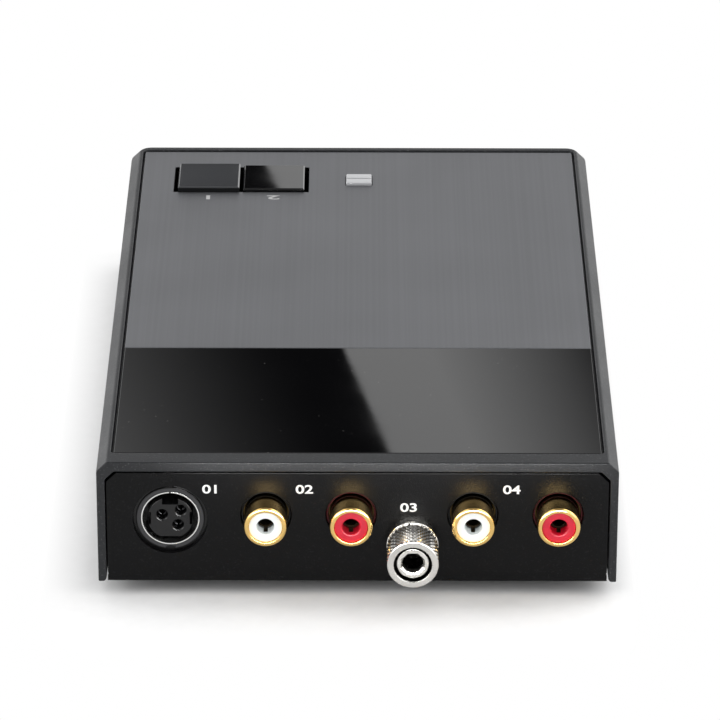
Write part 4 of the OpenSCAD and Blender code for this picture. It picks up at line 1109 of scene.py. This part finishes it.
@dataclass
class PowerInlet(PanelPart):
    """The round power socket: ring, thin shield, keyed core and three contacts with split tines."""

    anchor: ClassVar[str] = "power_inlet_shield"
    moulding_edge: float = 0.14
    core_edge: float = 0.07
    shield_edge: float = 0.04
    core_back: float = -8.7
    tine_spots: tuple[Point, ...] = ((-1.6, 0.75), (1.5, -1.45), (2.05, 1.7))
    tine_radius: float = 0.9
    tine_bore: float = 0.6
    tine_face: float = -2.4
    tine_length: float = 4.0
    tail_radius: float = 0.5
    tail_back: float = -15.2
    split: float = 0.3
    split_depth: float = 3.2
    tool_margin: float = 1.0
    tool_width: float = 1.2

    def contact(self) -> Object:
        """Turns one contact and splits its mouth into two tines.

        Returns:
            The contact, on the inlet's axis.
        """
        outer, bore, face = self.tine_radius, self.tine_bore, self.tine_face
        rim = (outer - bore) / 2
        made = self.turned("inlet_contact", [
            (0.0, self.tail_back), (self.tail_radius, self.tail_back),
            (self.tail_radius, self.core_back), (outer, self.core_back),
            *arc((outer - rim, face - rim), rim, 0.0, 180.0, 9),
            (bore, face - self.tine_length), (0.0, face - self.tine_length),
        ], 32)
        half, wide = self.split / 2, outer * self.tool_width
        low = self.spot(-half, face + self.tool_margin, -wide)
        high = self.spot(half, face - self.split_depth, wide)
        Bench.merge(made, Bench.block("split_tool", low, high), "DIFFERENCE")
        return Bench.tidy(made)

    def build(self) -> None:
        """Rounds the mouldings and models the three contacts as one piece."""
        self.refine(self.moulding_edge, "power_inlet_housing", finish="inlet_black")
        self.refine(self.core_edge, "power_inlet_core", segments=1, finish="core_black")
        self.refine(self.shield_edge, "power_inlet_shield", finish="shield_nickel")
        source = self.contact()
        tines = []
        for number, (x, z) in enumerate(self.tine_spots):
            tines.append(Bench.twin(source, f"tine_{number}", Vector((x * MM, 0.0, z * MM))))
        bpy.data.objects.remove(source)
        Bench.joined(*tines)
        made = Bench.named("power_inlet_contacts_dressed")
        self.seat(made, "power_inlet_contacts", finish="contact_dark")


@dataclass
class GroundTerminal(PanelPart):
    """The threaded ground post with its faceted mouth, its captive washer and the thumb nut."""

    anchor: ClassVar[str] = "ground_post"
    stud_radius: float = 2.0
    stud_back: float = -8.7
    collar_radius: float = 4.7
    collar_face: float = 1.2
    collar_edge: float = 0.15
    post_radius: float = 3.225
    post_face: float = 10.1
    post_edge: float = 0.4
    thread_depth: float = 0.25
    thread_pitch: float = 1.0
    thread_start: float = 1.6
    thread_end: float = 9.4
    thread_runout: float = 0.3
    crest_from: float = 0.4
    crest_to: float = 0.6
    mouth_radius: float = 2.5
    mouth_depth: float = 0.6
    mouth_fit: float = 0.97
    bore_radius: float = 2.05
    bore_depth: float = 6.2
    bore_cone: float = 0.5
    facets: int = 8
    washer_edge: float = 0.1
    nut_radius: float = 5.05
    nut_bore: float = 3.3
    nut_back: float = 2.0
    nut_front: float = 10.6
    nut_rim: float = 0.45
    nut_edge: float = 0.35
    nut_edge_inset: float = 0.05
    nut_chamfer: float = 0.12
    rim_chamfer: float = 0.08
    recess_radius: float = 3.7
    recess_depth: float = 1.6
    recess_edge: float = 0.22
    knurl_depth: float = 0.3
    knurl_wall: float = 0.5
    knurl_overlap: float = 0.02
    knurl_around: int = 34
    knurl_rows: int = 6
    skin_slack: float = 0.1
    corner_slack: float = 0.005

    @property
    def knurl_root(self) -> float:
        """Returns the radius of the knurl's valleys."""
        return self.nut_radius - self.knurl_depth

    def post(self) -> Object:
        """Turns the post with its thread and cuts its faceted mouth.

        Returns:
            The post.
        """
        outer, edge, root = self.post_radius, self.post_edge, self.post_radius - self.thread_depth
        collar, front, pitch = self.collar_radius, self.collar_face, self.thread_pitch
        outline = [
            (0.0, self.stud_back), (self.stud_radius, self.stud_back), (self.stud_radius, 0.0),
            (collar, 0.0), (collar, front - self.collar_edge), (collar - self.collar_edge, front),
            (root, front),
        ]
        turns = int((self.thread_end - self.thread_start) / pitch)
        for turn in range(turns):
            start = self.thread_start + turn * pitch
            outline += [(root, start), (outer, start + self.crest_from * pitch)]
            outline += [(outer, start + self.crest_to * pitch)]
        bore_end = self.post_face - self.mouth_depth - self.bore_depth
        outline += [
            (root, self.thread_start + turns * pitch),
            (outer, self.thread_end + self.thread_runout),
            *arc((outer - edge, self.post_face - edge), edge, 0.0, 90.0, 5),
            (self.bore_radius, self.post_face), (self.bore_radius, bore_end + self.bore_cone),
            (self.bore_radius - self.bore_cone, bore_end), (0.0, bore_end),
        ]
        made = self.turned("ground_post_dressed", outline)
        Bench.merge(made, self.mouth(), "DIFFERENCE")
        return Bench.tidy(made, 25.0)

    def mouth(self) -> Object:
        """Adds the faceted cone that cuts the post's mouth.

        Returns:
            The cutting tool.
        """
        small, depth = self.bore_radius * self.mouth_fit, self.mouth_depth * 2
        slope = (self.mouth_radius - small) / self.mouth_depth
        Bench.pick()
        bpy.ops.mesh.primitive_cone_add(
            vertices=self.facets, radius1=small * MM, radius2=(small + slope * depth) * MM,
            depth=depth * MM, rotation=(math.pi / 2, math.pi / self.facets, 0.0),
            location=self.spot(0.0, self.post_face - self.mouth_depth + depth / 2),
        )
        made = Bench.named("mouth_tool")
        bpy.ops.object.transform_apply()
        return made

    def nut_core(self) -> Object:
        """Turns the nut's ends and bore; its side stays open for the knurled skin.

        Returns:
            The core.
        """
        outer, inner, back, front = self.nut_radius, self.knurl_root, self.nut_back, self.nut_front
        rim, edge, floor = self.nut_rim, self.nut_edge, front - self.recess_depth
        chamfer, step, lip = self.nut_chamfer, self.rim_chamfer, self.recess_edge
        return self.turned("nut_core", [
            (self.nut_bore, back), (outer - chamfer, back), (outer, back + chamfer),
            (outer, back + rim - step), (outer - step, back + rim), (inner, back + rim),
            (inner, front - rim),
            *arc((outer - edge - self.nut_edge_inset, front - edge), edge, 25.0, 90.0, 6),
            *arc((self.recess_radius + lip, front - lip), lip, 90.0, 180.0, 5),
            (self.recess_radius, floor), (self.nut_bore, floor),
        ], self.knurl_around * 2)

    def knurl(self) -> Object:
        """Raises the diamond knurl: a staggered grid of small pyramids on the nut's side.

        Returns:
            The closed knurled sleeve.
        """
        back = self.nut_back + self.nut_rim - self.knurl_overlap
        front = self.nut_front - self.nut_rim + self.knurl_overlap
        Bench.pick()
        bpy.ops.mesh.primitive_cylinder_add(
            vertices=self.knurl_around, radius=self.knurl_root * MM, depth=(front - back) * MM,
            location=self.spot(0.0, (front + back) / 2), rotation=(math.pi / 2, 0.0, 0.0),
        )
        made = Bench.named("nut_knurl")
        bpy.ops.object.transform_apply()
        step = (front - back) / self.knurl_rows
        with Bench.editing(made):
            for row in range(1, self.knurl_rows):
                bpy.ops.mesh.select_all(action="SELECT")
                at = self.spot(0.0, back + row * step)
                bpy.ops.mesh.bisect(plane_co=at, plane_no=(0.0, 1.0, 0.0))
            Bench.choose(made, "faces", lambda f: abs(f.normal.y) < 0.5)
            bpy.ops.mesh.poke()
        with Bench.editing(made):
            Bench.choose(made, "faces", lambda f: abs(f.normal.y) > 0.9)
            bpy.ops.mesh.inset(thickness=self.knurl_wall * MM)
            bpy.ops.mesh.delete(type="FACE")
            bpy.ops.mesh.select_mode(type="EDGE")
            Bench.choose(made, "edges", lambda e: e.is_boundary)
            bpy.ops.mesh.bridge_edge_loops()
        grid = self.grid_edges(made)
        with Bench.editing(made, "EDGE"):
            Bench.choose(made, "edges", lambda e: e.index in grid)
            bpy.ops.mesh.dissolve_edges(use_verts=False)
            bpy.ops.mesh.select_mode(type="FACE")
            Bench.choose(made, "faces", lambda f: self.on_skin(f) and len(f.verts) == 4)
            bpy.ops.mesh.poke(offset=self.knurl_depth * MM)
        return made

    def on_skin(self, face: bmesh.types.BMFace) -> bool:
        """Says whether a face lies on the sleeve's outside.

        Args:
            face: A face of the sleeve.

        Returns:
            True for a face of the outer side, False for one of the bore or the ends.
        """
        away = face.calc_center_median() - self.centre
        least = (self.knurl_root - self.skin_slack) * MM
        return abs(face.normal.y) < 0.5 and away.xz.length > least

    def grid_edges(self, piece: Object) -> set[int]:
        """Finds the edges between the grid's own corners, away from the two ends.

        Args:
            piece: The poked cylinder.

        Returns:
            The edges' numbers.
        """
        places = [vertex.co for vertex in piece.data.vertices]
        least = (self.knurl_root - self.corner_slack) * MM
        corners = {i for i, co in enumerate(places) if (co - self.centre).xz.length > least}
        ends = [limit(co.y for co in places) for limit in (min, max)]
        found = set()
        for edge in piece.data.edges:
            at_end = any(all(abs(places[i].y - end) < 1e-6 for i in edge.vertices) for end in ends)
            if corners.issuperset(edge.vertices) and not at_end:
                found.add(edge.index)
        return found

    def build(self) -> None:
        """Models the post, the washer and the nut."""
        self.seat(self.post(), "ground_post", finish="post_nickel")
        self.refine(self.washer_edge, "ground_washer", body="ground_clamp")
        nut = self.nut_core()
        Bench.merge(nut, self.knurl(), "UNION")
        nut.name = nut.data.name = "ground_nut_dressed"
        nut = Bench.tidy(nut, 15.0)
        self.seat(nut, "ground_nut", body="ground_thumb_nut", finish="knurled_nickel")


@dataclass
class DipBanks(SubAssembly):
    """Two banks of four small slide switches, set from below through windows in the tray."""

    housing_edge: float = 0.08
    slider_edge: float = 0.06

    def build(self) -> None:
        """Rounds the housings and the sliders."""
        for side in ("left", "right"):
            self.refine(self.housing_edge, f"{side}_dip_switch")
            for number in range(1, 5):
                node, body = f"{side}_slider_{number}", f"{side}_dip_{number}"
                self.refine(self.slider_edge, node, body=body)


@dataclass
class Numeral:
    """A printed number: its middle's place, its height, its turn and how much wider it is."""

    name: str
    text: str
    place: Vector
    height: float
    turn: Place
    stretch: float


@dataclass
class Print(SubAssembly):
    """Plain numerals beside the connectors and the buttons."""

    panel_height: float = 1.9
    panel_rise: float = 23.3
    ground_rise: float = 19.4
    inlet_shift: float = 7.7
    row_shift: float = -0.8
    panel_stretch: float = 1.35
    button_height: float = 2.2
    button_line: float = 55.45
    button_stretch: float = 2.0
    film: float = 0.02
    sunk: float = 0.005
    boldness: float = 0.02
    upright: ClassVar[Place] = (math.pi / 2, 0.0, 0.0)
    flat: ClassVar[Place] = (0.0, 0.0, math.pi)

    def numeral(self, plan: Numeral) -> Object:
        """Writes one numeral and turns it into a mesh.

        Args:
            plan: What to write and where.

        Returns:
            The numeral as a thin raised mesh.
        """
        Bench.pick()
        bpy.ops.object.text_add()
        text = bpy.context.object.data
        text.body, text.align_x, text.align_y = plan.text, "CENTER", "CENTER"
        text.offset, text.resolution_u = self.boldness, 6
        bpy.ops.object.convert(target="MESH")
        made = Bench.named(plan.name)
        places = [vertex.co for vertex in made.data.vertices]
        low, high = (
            Vector(limit(place[i] for place in places) for i in range(3)) for limit in (min, max)
        )
        size = plan.height * MM / (high.y - low.y)
        made.data.transform(Matrix.Translation(-(low + high) / 2))
        Bench.flatten(made, 1e-5)
        lift = Vector((0.0, 0.0, self.film * MM / size))
        with Bench.editing(made):
            bpy.ops.mesh.extrude_region_move(TRANSFORM_OT_translate={"value": lift})
        made.scale = (size * plan.stretch, size, size)
        made.rotation_euler = plan.turn
        made.location = plan.place
        return Bench.tidy(made)

    def build(self) -> None:
        """Prints the numerals of the connectors and of the two buttons."""
        columns = [(middle("power_inlet_shield").x + self.inlet_shift * MM, self.panel_rise)]
        for first, second, rise in (
            ("input_left_barrel", "input_right_barrel", self.panel_rise),
            ("ground_post", "ground_post", self.ground_rise),
            ("output_left_barrel", "output_right_barrel", self.panel_rise),
        ):
            x = (middle(first).x + middle(second).x) / 2
            columns.append((x + self.row_shift * MM, rise))
        for number, (x, rise) in enumerate(columns, 1):
            place = Vector((x, PANEL_Y + self.sunk * MM, rise * MM))
            self.seat(self.numeral(Numeral(
                f"panel_numeral_{number}", f"0{number}", place, self.panel_height, self.upright,
                self.panel_stretch
            )), finish="print_white")
        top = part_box("brushed_plate")[1].z - self.sunk * MM
        for number, key in enumerate(("subsonic", "mono"), 1):
            place = Vector((middle(f"{key}_button").x, self.button_line * MM, top))
            self.seat(self.numeral(Numeral(
                f"button_numeral_{number}", f"{number}", place, self.button_height, self.flat,
                self.button_stretch
            )), finish="print_grey")


class Inside(SubAssembly):
    """The circuit board, the parts on it and the other CAD nodes that keep their own meshes."""

    def build(self) -> None:
        """Gives every CAD node that still shows the finish of its material slot."""
        for name, node in frame["nodes"].items():
            if node.hide_render:
                continue
            material = FINISHES[SLOT_OF[name]].material()
            for slot in node.material_slots:
                slot.link = "OBJECT"
                slot.material = material
            LOG.info("%s keeps its CAD mesh in %s", name, material.name)


@dataclass(frozen=True)
class Lamp:
    """A square soft light: its place, its side and its power in watts."""

    name: str
    place: Place
    side: float
    power: float


@dataclass(frozen=True)
class Card:
    """A glowing card: the place of its middle, its width and height, and its lean in degrees."""

    name: str
    place: Place
    size: Point
    lean: float


@dataclass
class Studio:
    """The camera, the pale floor, the soft lights and the cards that polished parts mirror.

    Everything is in metres. A range gives where it starts, where it ends, and its value at both.
    """

    lens: float = 237.31
    sensor: float = 36.0
    pitch: float = 25.209
    roll: float = 0.12
    camera_place: Place = (0.000425, -0.895785, 0.437625)
    clip: Point = (0.05, 20.0)
    world_fill: float = 0.93
    dim: float = 0.08
    sides: Range = (0.16, 0.44, 0.0, 1.75)
    back: Range = (0.35, 0.75, 0.0, 0.9)
    top: Range = (0.8, 0.95, 0.0, 0.4)
    floor_size: float = 8.0
    floor_scale: float = 900.0
    floor_tones: Point = (0.9, 0.92)
    floor_fade: Range = (0.004, 0.024, 0.0, 1.0)
    left_share: float = 2.1
    right_share: float = 6.0
    aim: Place = (0.0, 0.0, 0.02)
    lamps: tuple[Lamp, ...] = (
        Lamp("key_light", (0.8, 0.2, 0.9), 0.8, 4.5),
        Lamp("left_light", (-1.0, -0.35, 0.5), 0.5, 4.0),
        Lamp("right_light", (1.0, -0.35, 0.5), 0.5, 3.0),
    )
    mirror: Card = Card("mirror_card", (0.0, 0.6, 0.33), (0.24, 0.2), 90.0)
    edge_slope: float = 0.391
    edge_shift: float = -0.0011
    edge_blur: Range = (-0.001, 0.001, 0.0, 1.0)
    bright: Range = (0.03, 0.09, 1.25, 0.08)
    fall: Range = (-0.165, -0.015, 2.0, 0.0)
    fall_share: float = 0.42
    darkest: float = 0.005
    jacks: Card = Card("jack_card", (0.006, PANEL_Y - 0.02, 0.0297), (0.082, 0.0055), 65.0)
    jacks_power: float = 42.0

    def camera(self) -> None:
        """Places the camera."""
        data = bpy.data.cameras.new("studio_camera")
        data.lens, data.sensor_width = self.lens, self.sensor
        data.clip_start, data.clip_end = self.clip
        made = bpy.data.objects.new("studio_camera", data)
        bpy.context.scene.collection.objects.link(made)
        tilt = Matrix.Rotation(math.radians(90 - self.pitch), 4, "X")
        roll = Matrix.Rotation(math.radians(self.roll), 4, "Z")
        made.matrix_world = Matrix.Translation(self.camera_place) @ tilt @ roll
        bpy.context.scene.camera = made

    @staticmethod
    def seen(web: Web, rays: Mapping[str, Socket]) -> Socket:
        """Returns whether the camera looks here, straight or through something clear."""
        return web.math("MAXIMUM", rays["Is Camera Ray"], rays["Is Transmission Ray"])

    @staticmethod
    def emission(web: Web, strength: float | Socket, kind: str = "Emission") -> Socket:
        """Adds a plain white light of a strength, as an Emission or a Background node."""
        ports = {"Color": (1.0, 1.0, 1.0, 1.0), "Strength": strength}
        return web.node(f"ShaderNode{kind}", ports).outputs[0]

    def world(self) -> None:
        """Makes the surroundings white where they are seen and softly lit where they only light."""
        world = bpy.data.worlds.new("studio_world")
        world.use_nodes = True
        web = Web(world.node_tree, output="Generated")
        rays = web.node("ShaderNodeLightPath").outputs
        plain = web.span(self.seen(web, rays), 0.0, 1.0, self.world_fill, 1.0)
        glossy = rays["Is Glossy Ray"]
        plain = web.math("MULTIPLY", plain, web.math("SUBTRACT", 1.0, glossy))
        strength = web.math("ADD", plain, web.math("MULTIPLY", self.surround(web), glossy))
        light = self.emission(web, strength, "Background")
        web.node("ShaderNodeOutputWorld", {"Surface": light})
        bpy.context.scene.world = world

    def surround(self, web: Web) -> Socket:
        """Builds what polished parts mirror: bright sides and back, and dark above the camera.

        Args:
            web: The world's node tree.

        Returns:
            The strength's socket.
        """
        sides = web.span(web.math("ABSOLUTE", web.part("X")), *self.sides)
        back, top = web.span(web.part("Y"), *self.back), web.span(web.part("Z"), *self.top)
        walls = web.math("MAXIMUM", sides, web.math("MAXIMUM", back, top))
        return web.math("ADD", walls, self.dim)

    def floor(self) -> None:
        """Lays a matte pale floor that keeps the shadow and turns plain white further out."""
        Bench.pick()
        bpy.ops.mesh.primitive_plane_add(size=self.floor_size)
        made = Bench.named("studio_floor")
        web = self.material_web(made)
        away = web.span(self.distance_from_case(web), *self.floor_fade)
        fade = web.math("MULTIPLY", self.seen(web, web.node("ShaderNodeLightPath").outputs), away)
        grain = web.effect(Effect.GRAIN, self.floor_scale)["Mask"]
        tone = web.mix(grain, *((tone, tone, tone, 1.0) for tone in self.floor_tones))
        matte = web.node("ShaderNodeBsdfDiffuse", {"Color": tone}).outputs[0]
        ports = {0: fade, 1: matte, 2: self.emission(web, 1.0)}
        surface = web.node("ShaderNodeMixShader", ports).outputs[0]
        web.node("ShaderNodeOutputMaterial", {"Surface": surface})
        made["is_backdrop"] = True

    @staticmethod
    def material_web(piece: Object) -> Web:
        """Gives a piece of the studio an empty material of its own.

        Args:
            piece: The piece.

        Returns:
            The material's node tree.
        """
        material = bpy.data.materials.new(piece.name)
        material.use_nodes = True
        piece.data.materials.append(material)
        return Web(material.node_tree)

    def distance_from_case(self, web: Web) -> Socket:
        """Measures how far a point of the floor lies outside the case.

        Args:
            web: The floor material's node tree.

        Returns:
            The distance, 0 under the case and stretched by its own share at the left and right.
        """
        low, high = CAD_BOX
        beyond = []
        for axis, start, end, before, after in (
            ("X", low.x, high.x, self.left_share, self.right_share),
            ("Y", PANEL_Y, high.y, 1.0, 1.0),
        ):
            value = web.part(axis)
            left = web.math("MULTIPLY_ADD", value, -before, before * start)
            right = web.math("MULTIPLY_ADD", value, after, -after * end)
            beyond.append(web.math("MAXIMUM", web.math("MAXIMUM", left, right), 0.0))
        corner = web.node("ShaderNodeCombineXYZ", {"X": beyond[0], "Y": beyond[1]}).outputs[0]
        return web.vector("LENGTH", corner)

    def lamp(self, plan: Lamp) -> None:
        """Adds a square soft light that looks at the middle of the object.

        Args:
            plan: The light to add.
        """
        data = bpy.data.lights.new(plan.name, "AREA")
        data.size, data.energy = plan.side, plan.power
        made = bpy.data.objects.new(plan.name, data)
        made.location = plan.place
        aim = Vector(self.aim) - Vector(plan.place)
        made.rotation_euler = aim.to_track_quat("-Z", "Y").to_euler()
        bpy.context.scene.collection.objects.link(made)

    def card(self, plan: Card, power: Callable[[Web], float | Socket]) -> None:
        """Stands up a glowing card that only polished surfaces see.

        Args:
            plan: The card.
            power: Gives the glow's strength in the card's node tree.
        """
        Bench.pick()
        lean = (math.radians(plan.lean), 0.0, 0.0)
        bpy.ops.mesh.primitive_plane_add(size=1.0, location=plan.place, rotation=lean)
        made = Bench.named(plan.name)
        made.scale = (*plan.size, 1.0)
        web = self.material_web(made)
        web.node("ShaderNodeOutputMaterial", {"Surface": self.emission(web, power(web))})
        for ray in ("camera", "diffuse", "shadow", "transmission", "volume_scatter"):
            setattr(made, f"visible_{ray}", False)
        made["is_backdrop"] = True

    def mirror_glow(self, web: Web) -> Socket:
        """Builds a glow whose bright right part ends in a straight leaning edge.

        Its left part darkens towards that edge.

        Args:
            web: The card's node tree.

        Returns:
            The strength's socket.
        """
        width, height = self.mirror.size
        across = web.math("MULTIPLY", web.part("X"), width)
        rise = web.math("MULTIPLY", web.part("Y"), height)
        edge = web.math("ADD", web.math("MULTIPLY", rise, self.edge_slope), self.edge_shift)
        past = web.math("SUBTRACT", across, edge)
        fall = web.span(past, *self.fall)
        dark = web.math("MULTIPLY", web.math("MULTIPLY", fall, fall), self.fall_share)
        dark = web.math("ADD", dark, self.darkest)
        lit = web.span(past, *self.edge_blur)
        bright = web.math("MULTIPLY", lit, web.span(past, *self.bright))
        return web.math("ADD", bright, web.math("MULTIPLY", web.math("SUBTRACT", 1.0, lit), dark))

    def build(self) -> None:
        """Sets up the whole studio."""
        bpy.context.scene.view_settings.view_transform = "Standard"
        self.camera()
        self.world()
        self.floor()
        for plan in self.lamps:
            self.lamp(plan)
        self.card(self.mirror, self.mirror_glow)
        self.card(self.jacks, lambda web: self.jacks_power)


def plain(box: tuple[Vector, Vector]) -> list[list[float]]:
    """Returns a box as plain lists of numbers."""
    return [list(corner) for corner in box]


def main() -> None:
    """Builds every sub-assembly in order."""
    logging.basicConfig(level=logging.INFO, format="%(message)s")
    for part in (
        Case(), Controls(), PhonoJacks(), PowerInlet(), GroundTerminal(), DipBanks(), Print(),
        Inside(), Studio()
    ):
        part.build()
    Bench.pick()
    {"cad": plain(CAD_BOX), "visual": plain(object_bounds())}


if __name__ == "__main__":
    main()
